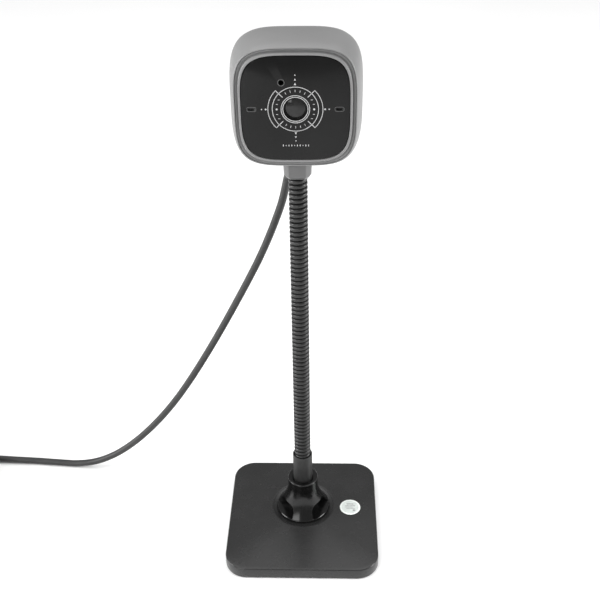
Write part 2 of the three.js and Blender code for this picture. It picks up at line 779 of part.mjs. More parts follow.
add(head, "status_led", box(1.6, 1, PCB_FRONT + GAP, PCB_FRONT + 1.1), whitePlastic, [
  LED_HOLE_X,
  LED_HOLE_Y,
  0,
]);
[-micOffset, micOffset].forEach((x, i) => {
  const name = i === 0 ? "microphone_left" : "microphone_right";
  add(head, name, disc(2, panelBack - GAP - 1.5, panelBack - GAP, 16), steel, [x, 0, 0]);
});
add(model, "cord_strain_relief", alongRelief(RELIEF_ROOT, RELIEF_TIP, reliefLength), blackSatin);

// ---------------------------------------------------------------- cord, coil and plug

const turnPitch = 2 * CORD_RADIUS;
const coilBottom = TIE_THICK + GAP;
const coilHeight = COIL_LAYERS * turnPitch;
const coilInner = COIL_RADIUS - (COIL_COLUMNS * turnPitch) / 2;
const coilOuter = COIL_RADIUS + (COIL_COLUMNS * turnPitch) / 2;

function coil() {
  const soft = 1.2;
  return lathe(
    [
      [coilInner + soft, coilBottom],
      [coilOuter - soft, coilBottom],
      [coilOuter, coilBottom + soft],
      [coilOuter, coilBottom + coilHeight - soft],
      [coilOuter - soft, coilBottom + coilHeight],
      [coilInner + soft, coilBottom + coilHeight],
      [coilInner, coilBottom + coilHeight - soft],
      [coilInner, coilBottom + soft],
      [coilInner + soft, coilBottom],
    ],
    28,
  );
}

// A band round the coil's section, on the side of the coil towards -X and +Y.
function tie() {
  const width = coilOuter - coilInner + 2 * GAP;
  const height = coilHeight + 2 * GAP;
  const band = new THREE.BoxGeometry(width + 2 * TIE_THICK, TIE_WIDTH, height + 2 * TIE_THICK);
  const ring = new THREE.LatheGeometry(
    [
      [coilInner - GAP, -height / 2],
      [coilOuter + GAP, -height / 2],
      [coilOuter + GAP, height / 2],
      [coilInner - GAP, height / 2],
      [coilInner - GAP, -height / 2],
    ].map(([radius, z]) => new THREE.Vector2(radius, z)),
    56,
  ).rotateX(Math.PI / 2);
  return cut(moved(band, COIL_RADIUS, 0, 0), ring);
}

add(model, "cord_hanging", tube(HANGING_ROUTE), blackSatin);
add(model, "cord_on_desk", tube(DESK_ROUTE), blackSatin, [-2 * GAP, 0, 0]);
add(model, "cord_coil", coil(), blackSatin, [COIL_X, COIL_Y, 0]);
const tieMesh = add(model, "cord_tie", tie(), rubber, [COIL_X, COIL_Y, coilBottom + coilHeight / 2]);
tieMesh.rotation.z = Math.PI * 0.8;
add(model, "cord_tail", tube(TAIL_ROUTE), blackSatin);

const plug = new THREE.Group();
plug.position.set(PLUG_X, PLUG_BACK_Y, PLUG_BODY_HEIGHT / 2);
model.add(plug);

// The plug's group points along -Y, with its cord end at the origin.
function plugBody() {
  const half = PLUG_BODY_WIDTH / 2;
  const low = PLUG_BODY_HEIGHT / 2;
  const section = (scale, y) =>
    [
      [half - 1.5, -low],
      [half, -low + 1.5],
      [half, low - 1.5],
      [half - 1.5, low],
      [-half + 1.5, low],
      [-half, low - 1.5],
      [-half, -low + 1.5],
      [-half + 1.5, -low],
    ].map(([x, z]) => new THREE.Vector3(x * scale, z * scale, y));
  return loft([
    section(0.75, 0),
    section(0.92, 3),
    section(1, 8),
    section(1, PLUG_BODY_LENGTH),
  ]).rotateX(Math.PI / 2);
}

function plugShell() {
  const start = -PLUG_BODY_LENGTH - GAP - PLUG_SHELL_LENGTH / 2;
  const hollow = new THREE.BoxGeometry(
    PLUG_SHELL_WIDTH - 2 * PLUG_SHELL_WALL,
    PLUG_SHELL_LENGTH + 2,
    PLUG_SHELL_HEIGHT - 2 * PLUG_SHELL_WALL,
  );
  const windows = [-2.7, 2.7].map((x) => moved(new THREE.BoxGeometry(2.2, 2.2, 10), x, start - 1, 0));
  const skinBox = new THREE.BoxGeometry(PLUG_SHELL_WIDTH, PLUG_SHELL_LENGTH, PLUG_SHELL_HEIGHT);
  return cut(moved(skinBox, 0, start, 0), moved(hollow, 0, start, 0), ...windows);
}

function plugTongue() {
  const width = PLUG_SHELL_WIDTH - 2 * PLUG_SHELL_WALL - 2 * GAP;
  const thick = 1.8;
  const length = PLUG_SHELL_LENGTH - 1;
  const z = -(PLUG_SHELL_HEIGHT / 2 - PLUG_SHELL_WALL - GAP - thick / 2);
  return moved(new THREE.BoxGeometry(width, length, thick), 0, -PLUG_BODY_LENGTH - GAP - length / 2, z);
}

add(plug, "plug_overmould", plugBody(), blackSatin);
add(plug, "plug_shell", plugShell(), steel);
add(plug, "plug_tongue", plugTongue(), whitePlastic);

export default model;
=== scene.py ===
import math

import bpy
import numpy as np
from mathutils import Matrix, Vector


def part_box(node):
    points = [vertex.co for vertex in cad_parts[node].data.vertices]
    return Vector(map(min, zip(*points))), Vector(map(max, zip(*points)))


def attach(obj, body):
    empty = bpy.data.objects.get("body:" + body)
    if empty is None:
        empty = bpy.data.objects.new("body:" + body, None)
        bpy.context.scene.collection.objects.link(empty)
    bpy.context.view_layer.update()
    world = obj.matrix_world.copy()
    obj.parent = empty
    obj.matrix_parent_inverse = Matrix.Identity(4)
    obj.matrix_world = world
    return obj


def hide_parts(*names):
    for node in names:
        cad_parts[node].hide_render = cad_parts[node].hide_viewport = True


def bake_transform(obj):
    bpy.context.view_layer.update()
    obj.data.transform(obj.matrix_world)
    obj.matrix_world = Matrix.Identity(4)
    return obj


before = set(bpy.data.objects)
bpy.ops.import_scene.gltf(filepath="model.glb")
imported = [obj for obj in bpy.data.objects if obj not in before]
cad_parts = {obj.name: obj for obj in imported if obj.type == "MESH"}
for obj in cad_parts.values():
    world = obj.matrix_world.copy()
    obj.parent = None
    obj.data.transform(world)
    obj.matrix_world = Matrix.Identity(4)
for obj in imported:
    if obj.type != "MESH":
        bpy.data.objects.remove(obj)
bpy.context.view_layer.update()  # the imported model: bodies, nodes, joints and record

# %% [markdown]
# # A desk webcam on a gooseneck stand
# A camera head sits on a flexible hose, the hose stands in a fluted collar, and the collar is screwed to
# a weighted square base. A thin cord hangs from the back of the head to the desk.
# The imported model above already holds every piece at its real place. It is plain and faceted, so this
# lesson draws the visible pieces again as fine surfaces and gives every piece a finish.
# Sizes below are in millimetres, with +Z up and the lens looking along -Y. They turn into metres in one
# place only, where a mesh is made.

MM = 0.001
FULL_TURN = 2 * math.pi
print("pieces in the packed model:", len(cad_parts))

# %% [markdown]
# ## Camera
# The webcam is looked at from a little above its own height and nearly straight from the front.
# A camera can be aimed with a target and a constraint. Here its three directions are worked out from a
# pitch, a heading and a small roll instead, because then nothing has to be solved.

# %% Camera
CAMERA_PLACE = (0.01512, -0.41296, 0.43122)
CAMERA_LENS = 56.01


def camera_turn(pitch, heading, roll):
    """Right, up and backward directions of a camera, as the columns of a matrix. It starts level and
    looking along +Y, is turned by the heading about the vertical, tipped down by the pitch, and last
    turned by the roll about its own line of sight."""
    p, h, r = np.radians([pitch, heading, roll])
    right = np.array([math.cos(h), math.sin(h), 0])
    up = np.array([-math.sin(h) * math.sin(p), math.cos(h) * math.sin(p), math.cos(p)])
    ahead = np.array([-math.sin(h) * math.cos(p), math.cos(h) * math.cos(p), -math.sin(p)])
    rolled_right = math.cos(r) * right - math.sin(r) * up
    rolled_up = math.sin(r) * right + math.cos(r) * up
    return np.stack([rolled_right, rolled_up, -ahead], axis=1)


camera = bpy.data.objects.new("camera", bpy.data.cameras.new("camera"))
camera.data.lens = CAMERA_LENS
camera.data.clip_start = 0.01
directions = Matrix(camera_turn(pitch=32.88, heading=2.0627, roll=0.96).tolist())
camera.matrix_world = Matrix.Translation(CAMERA_PLACE) @ directions.to_4x4()
bpy.context.scene.collection.objects.link(camera)
bpy.context.scene.camera = camera
print("camera", CAMERA_LENS, "mm lens at", CAMERA_PLACE)

# %% [markdown]
# ## From numbers to a mesh
# Nearly every piece here is a stack of rings, such as a tube, a cup or a frame. A stack of rings is a
# grid of points: one row for each ring, one column for each place round it.
# Blender could make them with curves and modifiers, but a grid gives every point exactly, and numpy
# works out all of it at once.

# %% Faces of a grid
def grid_faces(rows, columns, joined=False):
    """Squares between neighbouring points of a grid whose rows are closed rings: each has a point, the
    next one round, and the same two in the next row. With joined, the last row meets the first."""
    row, column = np.meshgrid(np.arange(rows if joined else rows - 1), np.arange(columns), indexing="ij")
    row_after, column_after = (row + 1) % rows, (column + 1) % columns
    corners = [(row, column), (row, column_after), (row_after, column_after), (row_after, column)]
    return np.stack([r * columns + c for r, c in corners], axis=-1).reshape(-1, 4)


def capped(grid):
    """A closed skin from a stack of rings. The first and the last ring are each filled by triangles that
    meet at the ring's middle."""
    rows, columns = grid.shape[:2]
    points = np.concatenate([grid.reshape(-1, 3), grid[:1].mean(axis=1), grid[-1:].mean(axis=1)])
    here = np.arange(columns)
    after = (here + 1) % columns
    last = (rows - 1) * columns
    first_fan = np.stack([np.full(columns, rows * columns), after, here], axis=1)
    last_fan = np.stack([np.full(columns, rows * columns + 1), last + here, last + after], axis=1)
    return points, [grid_faces(rows, columns), first_fan, last_fan]


def looped(grid):
    """A closed skin from rings whose last one meets the first, as on a doughnut."""
    rows, columns = grid.shape[:2]
    return grid.reshape(-1, 3), [grid_faces(rows, columns, joined=True)]


print("faces between 3 rings of 8 points:", len(grid_faces(3, 8)))

# %% [markdown]
# One more function puts skins into a mesh object and hangs it on the body that it moves with. Smooth
# shading is kept off edges that turn more than a given angle, so a rim stays crisp.

# %% Make a piece
CRISP_ANGLE = math.radians(38)


def make(name, *skins, body=None, slot=None, finish=None, replaces=()):
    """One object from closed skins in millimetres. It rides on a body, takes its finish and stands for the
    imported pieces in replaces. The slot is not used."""
    counts = np.cumsum([0] + [len(points) for points, _ in skins])
    points = np.concatenate([points for points, _ in skins]) * MM
    faces = []
    for start, (_, face_sets) in zip(counts, skins):
        for face_set in face_sets:
            faces += (face_set + start).tolist()
    mesh = bpy.data.meshes.new(name)
    mesh.from_pydata(points.tolist(), [], faces)
    mesh.polygons.foreach_set("use_smooth", np.ones(len(mesh.polygons), bool))
    mesh.set_sharp_from_angle(angle=CRISP_ANGLE)
    piece = bpy.data.objects.new(name, mesh)
    bpy.context.scene.collection.objects.link(piece)
    if finish:
        mesh.materials.append(finish)
    if body:
        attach(piece, body)
    if replaces:
        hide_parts(*replaces)
    print(f"{name}: {len(faces)} faces")
    return piece


# %% [markdown]
# ## Finishes
# A moulded plastic is never one flat colour. Its tone drifts a little, its gloss varies, and its skin
# has a fine grain from the mould. Each of these is one noise pattern, read from the object's own
# coordinates so that it stays on the surface.
# What is the same all over, such as how metallic it is, is set on the shader itself.

# %% Finish maker
RAMP_ENDS = (0.35, 0.65)  # most of the noise lies between these


def tone(level, tint=(1, 1, 1)):
    """A screen grey from 0 to 255 as linear light, times a tint."""
    part = level / 255
    light = part / 12.92 if part <= 0.04045 else ((part + 0.055) / 1.055) ** 2.4
    return [light * channel for channel in tint] + [1]


def pattern(tree, size, detail=2.0, stretch=(1, 1, 1)):
    """A noise pattern with patches about size millimetres across, longer along an axis whose stretch is
    more than one."""
    place = tree.nodes.new("ShaderNodeTexCoord")
    mapping = tree.nodes.new("ShaderNodeMapping")
    mapping.inputs["Scale"].default_value = [1 / s for s in stretch]
    noise = tree.nodes.new("ShaderNodeTexNoise")
    noise.inputs["Scale"].default_value = 1 / (size * MM)
    noise.inputs["Detail"].default_value = detail
    tree.links.new(place.outputs["Object"], mapping.inputs["Vector"])
    tree.links.new(mapping.outputs["Vector"], noise.inputs["Vector"])
    return noise.outputs["Fac"]


def moulded(name, dark, light, rough, spread=0.06, patch=18, grain=0.35, relief=0.012, tint=(1, 1, 1),
            stretch=(1, 1, 1), **shader_values):
    """A finish of three patterns: colour between a dark and a light grey in patches, roughness within
    spread of rough, and a bump grain millimetres across and relief millimetres deep."""
    material = bpy.data.materials.new(name)
    material.use_nodes = True
    tree = material.node_tree
    shader = tree.nodes["Principled BSDF"]
    for socket, value in shader_values.items():
        shader.inputs[socket.replace("_", " ")].default_value = value
    ramp = tree.nodes.new("ShaderNodeValToRGB")
    ends = zip(ramp.color_ramp.elements, RAMP_ENDS, (dark, light))
    for end, position, level in ends:
        end.position, end.color = position, tone(level, tint)
    gloss = tree.nodes.new("ShaderNodeMapRange")
    gloss.inputs["To Min"].default_value = rough - spread
    gloss.inputs["To Max"].default_value = rough + spread
    bump = tree.nodes.new("ShaderNodeBump")
    bump.inputs["Distance"].default_value = relief * MM
    join = tree.links.new
    join(pattern(tree, patch, stretch=stretch), ramp.inputs["Fac"])
    join(ramp.outputs["Color"], shader.inputs["Base Color"])
    join(pattern(tree, patch / 4, 3.0, stretch), gloss.inputs["Value"])
    join(gloss.outputs["Result"], shader.inputs["Roughness"])
    join(pattern(tree, grain, 1.0, stretch), bump.inputs["Height"])
    join(bump.outputs["Normal"], shader.inputs["Normal"])
    return material


print("mid grey 128 as linear light:", round(tone(128)[0], 3))

# %% [markdown]
# ## Cord
# The cord is a fixed length of soft PVC jacket, 4.2 mm thick and about 1.5 m long. It leaves the back of
# the head through a strain relief, hangs to the desk, and the rest is wound into a tied coil.
# A Bezier curve with a bevel could draw it. A mesh swept along a path is used instead, because the
# hanging stretch has to bend with the gooseneck, and only a mesh can blend between two bodies.

# %% Route of the cord
CORD_DIAMETER = 4.2
HANGING_ROUTE = [
    [-3.5, 25.8, 235.95], [-3.6, 27.3, 233.2], [-4.6, 28.7, 228.2], [-6.5, 29.4, 220], [-9.2, 29.5, 208],
    [-13.2, 30.2, 195.7], [-18, 31, 182.9], [-23.5, 31.8, 169.8], [-29.9, 33, 156], [-36.8, 34.1, 141.8],
    [-44.1, 35.5, 127], [-51.9, 36.9, 111.8], [-60.4, 38.3, 95.9], [-69.6, 39.7, 79.6],
    [-80.1, 41.2, 62.6], [-92.6, 42.6, 45.3], [-108.6, 44, 27.2], [-124.5, 45.4, 13.6], [-139, 46.6, 5.8],
    [-152, 47.8, 2.7], [-164, 49, 2.2], [-172, 49.7, 2.2],
]
DESK_ROUTE = [[-180, 50.4, 2.2], [-200, 51.5, 2.4], [-219.8, 52.1, 3.2]]
TAIL_ROUTE = [
    [-262.1, 11.2, 15.4], [-262, 4, 14], [-260.8, -6, 8.8], [-259.4, -16, 5.2], [-258.6, -25, 4.3],
    [-258.5, -30, 4.2],
]


def smooth_route(points, step):
    """A smooth curve through the points, cut into equal steps. Between two points it is a cubic that has
    the slope of the neighbours at both ends, and the equal steps come from its running length."""
    p = np.asarray(points, float)
    t = np.concatenate([[0], np.cumsum(np.linalg.norm(np.diff(p, axis=0), axis=1) ** 0.5)])
    slope = np.gradient(p, t, axis=0)
    fine = np.linspace(0, t[-1], 30 * len(p))
    i = np.clip(np.searchsorted(t, fine, "right") - 1, 0, len(p) - 2)
    span = (t[i + 1] - t[i])[:, None]
    u = (fine - t[i])[:, None] / span
    ahead = u * u * (3 - 2 * u)
    curve = (1 - ahead) * p[i] + ahead * p[i + 1]
    curve += span * (u * (1 - u) ** 2 * slope[i] - u * u * (1 - u) * slope[i + 1])
    run = running_length(curve)
    even = np.linspace(0, run[-1], int(round(run[-1] / step)) + 1)
    return np.stack([np.interp(even, run, axis) for axis in curve.T], axis=1)


def running_length(path):
    """Length along a path up to each of its points."""
    return np.concatenate([[0], np.cumsum(np.linalg.norm(np.diff(path, axis=0), axis=1))])


# %% [markdown]
# The coil has eight places for a turn: two side by side in each of four layers. The cord takes them in
# a snake-like order and changes place once in each turn. A turn changes place a little later than the
# turn above it, so it always moves into a place that is already free, and no two turns cross.

# %% Turns of the coil
def smooth_step(value, low, high):
    """0 below low, 1 above high, and an even S-shaped rise between them: three times the square of the
    share of the way, less twice its cube."""
    share = np.clip((value - low) / (high - low), 0, 1)
    return share * share * (3 - 2 * share)


def about(middle, angle, radius, height):
    """Points about an upright axis: the middle plus the radius times the cosine and the sine of the
    angle, at the height."""
    x, y = middle[0] + radius * np.cos(angle), middle[1] + radius * np.sin(angle)
    return np.stack([x, y, np.broadcast_to(height, x.shape)], axis=-1)


COIL_MIDDLE = (-236, 26)
COIL_OUTER, COIL_INNER = 26.1, 21.9
COIL_FLOOR = 3.2
COIL_TURNS, COIL_PLACES = 7.25, 8
FIRST_CHANGE, CHANGE_LAG, CHANGE_SPAN = 0.33, 0.1, 0.1


def coil_path(steps_a_turn=30):
    """Points along the coil. At a count of turns the cord is at that angle from +Y, counterclockwise,
    with the radius and height of its place, and it eases from one place to the next over a tenth of a
    turn. The place is the sum of seven such easings, one for each change."""
    turns = np.linspace(0, COIL_TURNS, int(COIL_TURNS * steps_a_turn))
    places = np.arange(COIL_PLACES)
    changes = places[:-1] + FIRST_CHANGE + CHANGE_LAG * (COIL_PLACES - 2 - places[:-1])
    place = smooth_step(turns[:, None] - changes, -CHANGE_SPAN / 2, CHANGE_SPAN / 2).sum(axis=1)
    radius = np.interp(place, places, [COIL_OUTER, COIL_INNER, COIL_INNER, COIL_OUTER] * 2)
    height = np.interp(place, places, COIL_FLOOR + CORD_DIAMETER * (places // 2))
    return about(COIL_MIDDLE, FULL_TURN * (turns + 0.25), radius, height)


whole_route = np.concatenate([HANGING_ROUTE, DESK_ROUTE, coil_path(), TAIL_ROUTE])
cord_path = smooth_route(whole_route, step=1.5)
print("cord length, mm:", round(running_length(cord_path)[-1]))

# %% [markdown]
# A profile is carried along the path: at every point it stands square to the path, with one side turned
# towards a fixed hint direction so that it never twists.

# %% Sweep a profile along a path
def sweep(path, profile, hint, closed=False):
    """Rings of the profile along a path. At each point the path's direction and the hint give a sideways
    direction, and these two give an outward one; a profile point is so far sideways and so far out."""
    path, profile = np.asarray(path, float), np.asarray(profile, float)
    along = np.roll(path, -1, axis=0) - np.roll(path, 1, axis=0) if closed else np.gradient(path, axis=0)
    side = np.cross(np.asarray(hint, float), along)
    side /= np.linalg.norm(side, axis=1, keepdims=True)
    out = np.cross(along, side)
    out /= np.linalg.norm(out, axis=1, keepdims=True)
    return path[:, None] + profile[None, :, :1] * side[:, None] + profile[None, :, 1:] * out[:, None]


def circle(radius, sides):
    """Points of a circle, counterclockwise from its right."""
    angle = np.arange(sides) / sides * FULL_TURN
    return radius * np.stack([np.cos(angle), np.sin(angle)], axis=1)


cord_profile = circle(CORD_DIAMETER / 2, 20)
print("points round the cord:", len(cord_profile))

# %% [markdown]
# The jacket is dull black PVC with a fine even skin, so the common finish maker is enough.

# %% Finish of the cord's jacket
jacket = moulded("cord_jacket", 30, 38, rough=0.5, patch=12, grain=0.5, relief=0.01)

# %% [markdown]
# The hose of the gooseneck bends at eight hinges. The hanging stretch is cut into eight lengths, one for
# each hinge. The rest of the cord lies on the desk and stays with the base.

# %% Cord pieces
HINGE_Y = 6.4
STEM = (0, HINGE_Y)
HINGE_BOTTOM, HINGE_STEP, HINGES = 65.2, 22, 8
HANGING_STEPS = 21


for hinge in range(HINGES, 0, -1):
    first = (HINGES - hinge) * HANGING_STEPS
    stretch = cord_path[first:first + HANGING_STEPS + 1]
    grid = sweep(stretch, cord_profile, (0, 1, 0))
    piece = make(f"cord_length_{HINGES - hinge + 1}", capped(grid), slot="cord_jacket", finish=jacket)
    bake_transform(piece)
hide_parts("cord_hanging")

desk_path = cord_path[HINGES * HANGING_STEPS:]
desk_grid = sweep(desk_path, cord_profile, (0, 0, 1))
desk_cord = make("cord_on_desk_and_coil", capped(desk_grid), body="base", slot="cord_jacket", finish=jacket,
                 replaces=["cord_on_desk", "cord_coil", "cord_tail"])

# %% [markdown]
# ## Plug and tie
# The cord ends in a USB-A plug: a soft moulded grip over a folded steel shell. The grip is a rounded
# block that narrows to the cord and has four shallow grooves on each side for the fingers. The shell and
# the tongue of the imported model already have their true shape, so they only get a finish.

# %% Plug grip
PLUG_PLACE = (-258.5, -30.3, 3.8)
GRIP_LENGTH, GRIP_HALF_WIDTH, GRIP_HALF_HEIGHT = 21, 7.25, 3.8
GRIP_NARROW, GRIP_TAPER, GRIP_EDGE, GRIP_INSET = 0.62, 8, 1.2, 0.5
GROOVE_PITCH, GROOVE_DEPTH, GROOVE_MIDDLE, GROOVE_REACH = 2.6, 0.5, 12.6, 5.2
rubbery_black = moulded("plug_black", 26, 34, rough=0.55, patch=6, grain=0.25, relief=0.015)


def plug_grip():
    """Rings square to -Y. Each is an oval with an exponent of five, which is nearly a rounded box; its
    size grows from the cord to the full grip, and a wave takes a little off the width at each groove."""
    back = np.linspace(0, GRIP_LENGTH, 85)
    size = GRIP_NARROW + (1 - GRIP_NARROW) * np.clip(back / GRIP_TAPER, 0, 1) ** 0.6
    end = np.sqrt(1 - np.clip(1 - (GRIP_LENGTH - back) / GRIP_EDGE, 0, 1) ** 2)
    wave = np.clip(np.cos((back - GRIP_TAPER) * FULL_TURN / GROOVE_PITCH), 0, 1)
    grooves = GROOVE_DEPTH * wave * (np.abs(back - GROOVE_MIDDLE) < GROOVE_REACH)
    angle = np.arange(64) / 64 * FULL_TURN
    c, s = np.cos(angle), np.sin(angle)
    reach = (np.abs(c) ** 5 + np.abs(s) ** 5) ** -0.2
    width = (GRIP_HALF_WIDTH * size - grooves - GRIP_INSET * (1 - end))[:, None] * reach * c
    height = (GRIP_HALF_HEIGHT * size - GRIP_INSET * (1 - end))[:, None] * reach * s
    x, z = PLUG_PLACE[0] + width, PLUG_PLACE[2] + height
    return np.stack([x, np.broadcast_to((PLUG_PLACE[1] - back)[:, None], x.shape), z], axis=2)


grip = make("plug_grip", capped(plug_grip()), body="base", slot="black_satin_plastic", finish=rubbery_black,
            replaces=["plug_overmould"])

# %% [markdown]
# A flat nylon strap holds the turns together. Its path is a rounded rectangle round the coil's section,
# and its own section is one too, so one function rounds the corners of both.

# %% Rounded outlines
def rounded(points, radius, steps=5):
    """A closed outline with its corners rounded. Each corner is replaced by a curve that starts and ends
    at the given distance from it, or nearer where the side is short, and is pulled towards the corner."""
    p = np.asarray(points, float)
    before, after = np.roll(p, 1, axis=0) - p, np.roll(p, -1, axis=0) - p
    longs = [np.linalg.norm(v, axis=1, keepdims=True) for v in (before, after)]
    reach = np.minimum(radius, 0.45 * np.minimum(*longs))
    start, stop = p + before / longs[0] * reach, p + after / longs[1] * reach
    t = np.linspace(0, 1, steps)[None, :, None]
    curve = (1 - t) ** 2 * start[:, None] + 2 * t * (1 - t) * p[:, None] + t ** 2 * stop[:, None]
    return curve.reshape(-1, p.shape[1])


def box_outline(left, right, low, high):
    """The four corners of a rectangle, counterclockwise from the lower left."""
    return [[left, low], [right, low], [right, high], [left, high]]


print("points on a rounded square:", len(rounded(box_outline(-1, 1, -1, 1), 0.2)))

# %% Coil tie
TIE_ANGLE = 0.8 * math.pi
STRAP_NEAR, STRAP_FAR, STRAP_LOW, STRAP_HIGH = 19.1, 28.9, 0.5, 18.5
STRAP_THICK, STRAP_WIDTH = 0.7, 8.8
nylon = moulded("tie_nylon", 22, 30, rough=0.42, patch=8, grain=0.3, relief=0.01)


def at_tie(radius, sideways, height):
    """A place at the tie's angle round the coil: so far from the coil's middle, and so far sideways."""
    c, s = math.cos(TIE_ANGLE), math.sin(TIE_ANGLE)
    return np.stack([COIL_MIDDLE[0] + radius * c - sideways * s, COIL_MIDDLE[1] + radius * s + sideways * c,
                     height], axis=-1)


strap_line = rounded(box_outline(STRAP_NEAR, STRAP_FAR, STRAP_LOW, STRAP_HIGH), 2, 7)
strap_path = at_tie(strap_line[:, 0], np.zeros(len(strap_line)), strap_line[:, 1])
strap_section = box_outline(-STRAP_THICK / 2, STRAP_THICK / 2, -STRAP_WIDTH / 2, STRAP_WIDTH / 2)
strap_profile = rounded(strap_section, 0.3, 3)
strap_hint = at_tie(0.0, 1.0, 0.0) - at_tie(0.0, 0.0, 0.0)
strap = looped(sweep(strap_path, strap_profile, strap_hint, closed=True))
tie = make("coil_tie", strap, body="base", slot="tie_nylon", finish=nylon, replaces=["cord_tie"])

# %% [markdown]
# ## Strain relief
# A tapered sleeve guards the cord where it leaves the head. It is cut by ring grooves, so it bends more
# easily towards its tip. It is a turned shape: a radius for each place along its axis. Its tip reaches a
# little over the start of the cord, as the moulding does on a real one.

# %% Strain relief
RELIEF_START, RELIEF_END = np.array([-3.5, 17.6, 250.1]), np.array([-3.5, 26.05, 235.5])
RELIEF_ROOT, RELIEF_TIP, TIP_ROUND, TIP_FROM = 3.5, 2.7, 0.4, 0.96
DIP_DEPTH, DIP_PITCH, DIPS_FROM, DIPS_TO = 0.55, 0.125, 0.42, 0.95


def relief_rings():
    """Rings along the relief's axis. The radius falls evenly from root to tip, with a smooth dip at each
    of four grooves and a rounded tip."""
    share = np.linspace(0, 1, 110)
    taper = RELIEF_ROOT - (RELIEF_ROOT - RELIEF_TIP) * share
    wave = np.clip(np.cos((share - 0.5) * FULL_TURN / DIP_PITCH), 0, 1) ** 0.7
    dips = DIP_DEPTH * wave * (share > DIPS_FROM) * (share < DIPS_TO)
    tip = TIP_ROUND * np.clip((share - TIP_FROM) / (1 - TIP_FROM), 0, 1) ** 2
    radius = taper - dips - tip
    axis = RELIEF_START + share[:, None] * (RELIEF_END - RELIEF_START)
    unit = sweep(axis, circle(1, 32), (0, 1, 0)) - axis[:, None]
    return axis[:, None] + radius[:, None, None] * unit


satin_black = moulded("satin_black", 28, 36, rough=0.4, patch=8, grain=0.3, relief=0.008)
make("strain_relief", capped(relief_rings()), body="head", slot="black_satin_plastic",
     finish=satin_black, replaces=["cord_strain_relief"])

# %% [markdown]
# ## Gooseneck hose
# The hose is a steel spring wound with a thin plastic ribbon, so its skin is one rib that runs up in a
# screw line. It could be a real coil of wire, but a tube whose radius rises and falls with the screw
# line looks the same from outside and stays one closed skin.
# There is one piece for each hinge, from the middle of one segment to the middle of the next.

# %% Hose pieces
HOSE_RADIUS, RIB_PITCH, RIB_DEPTH, RIB_FLATNESS, RINGS_A_RIB = 4.8, 2.65, 1.25, 3.6, 16
HOSE_BOTTOM, HOSE_TOP = 45.3, 238.2
hose_black = moulded("hose_black", 16, 25, rough=0.34, patch=5, grain=0.25, relief=0.01)


def hose(bottom, top, sides=48):
    """Rings from bottom to top. The phase of a point is its height in pitches less its angle in turns.
    It runs from 0 to 1 over one rib, which is highest in the middle and falls off steeply at both
    sides."""
    height = np.linspace(bottom, top, int((top - bottom) / RIB_PITCH * RINGS_A_RIB) + 1)[:, None]
    turns = (np.arange(sides) / sides)[None, :]
    phase = (height / RIB_PITCH - turns) % 1
    radius = HOSE_RADIUS - RIB_DEPTH * np.abs(2 * phase - 1) ** RIB_FLATNESS
    return about(STEM, FULL_TURN * turns, radius, height)


for hinge in range(1, HINGES + 1):
    middle = HINGE_BOTTOM + (hinge - 1) * HINGE_STEP
    low, high = middle - HINGE_STEP / 2, middle + HINGE_STEP / 2
    skin = capped(hose(HOSE_BOTTOM if hinge == 1 else low, HOSE_TOP if hinge == HINGES else high))
    covered = ["gooseneck_foot"] if hinge == 1 else [f"gooseneck_segment_{hinge - 1:02d}"]
    covered += ["gooseneck_end"] if hinge == HINGES else []
    piece = make(f"hose_length_{hinge}", skin, slot="gooseneck_black", finish=hose_black, replaces=covered)
    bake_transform(piece)

# %% [markdown]
# ## Head shell and rear cover
# The head is a rounded cube of grey plastic in two halves. Seen from the front, its outline is a
# squircle, the curve on which the fourth powers of across and up add to a constant.
# A subdivided cube would come close, but the formula gives the exact outline at every depth, and the
# groove round the front stays even.

# %% Outlines round an axis
ROUND_STEPS = 192
round_angle = np.arange(ROUND_STEPS) / ROUND_STEPS * FULL_TURN
LENS_Z, FACE_Y = 274.1, -11


def squircle(half):
    """Distance from the middle to a squircle, for every angle: its half width over the fourth root of
    the sum of the fourth powers of the angle's cosine and sine."""
    return half / (np.cos(round_angle) ** 4 + np.sin(round_angle) ** 4) ** 0.25


def plain_circle(radius):
    """The same distance from the middle for every angle."""
    return radius * np.ones(ROUND_STEPS)


def head_rings(profile, outline=squircle):
    """Rings about the lens axis from pairs of depth and half width. Depth is 0 at the front panel and
    grows towards the viewer."""
    depth, half = np.asarray(profile, float).T
    radius = outline(half[:, None])
    x, z = radius * np.cos(round_angle), LENS_Z + radius * np.sin(round_angle)
    y = FACE_Y - np.broadcast_to(depth[:, None], x.shape)
    return np.stack([x, y, z], axis=2)


print("corner of the head's outline, mm from its middle:", round(squircle(31)[ROUND_STEPS // 8], 1))

# %% [markdown]
# Openings, such as the hole for the neck, are cut with a Boolean modifier that is applied at once.

# %% Cut openings
def carve(piece, *skins):
    """Cuts closed skins out of a piece."""
    tool = make("cutter", *skins)
    cut = piece.modifiers.new("cut", "BOOLEAN")
    cut.operation, cut.solver, cut.object = "DIFFERENCE", "EXACT", tool
    bpy.context.view_layer.update()
    evaluated = piece.evaluated_get(bpy.context.evaluated_depsgraph_get())
    result = bpy.data.meshes.new_from_object(evaluated)
    piece.modifiers.remove(cut)
    old, piece.data = piece.data, result
    result.set_sharp_from_angle(angle=CRISP_ANGLE)
    bpy.data.meshes.remove(old)
    bpy.data.objects.remove(tool)


def rod(start, end, radius, sides=48):
    """A straight round rod between two points."""
    start, end = np.asarray(start, float), np.asarray(end, float)
    hint = (0, 1, 0) if abs((end - start)[1]) < 1e-6 else (1, 0, 0)
    return capped(sweep(np.stack([start, end]), circle(radius, sides), hint))


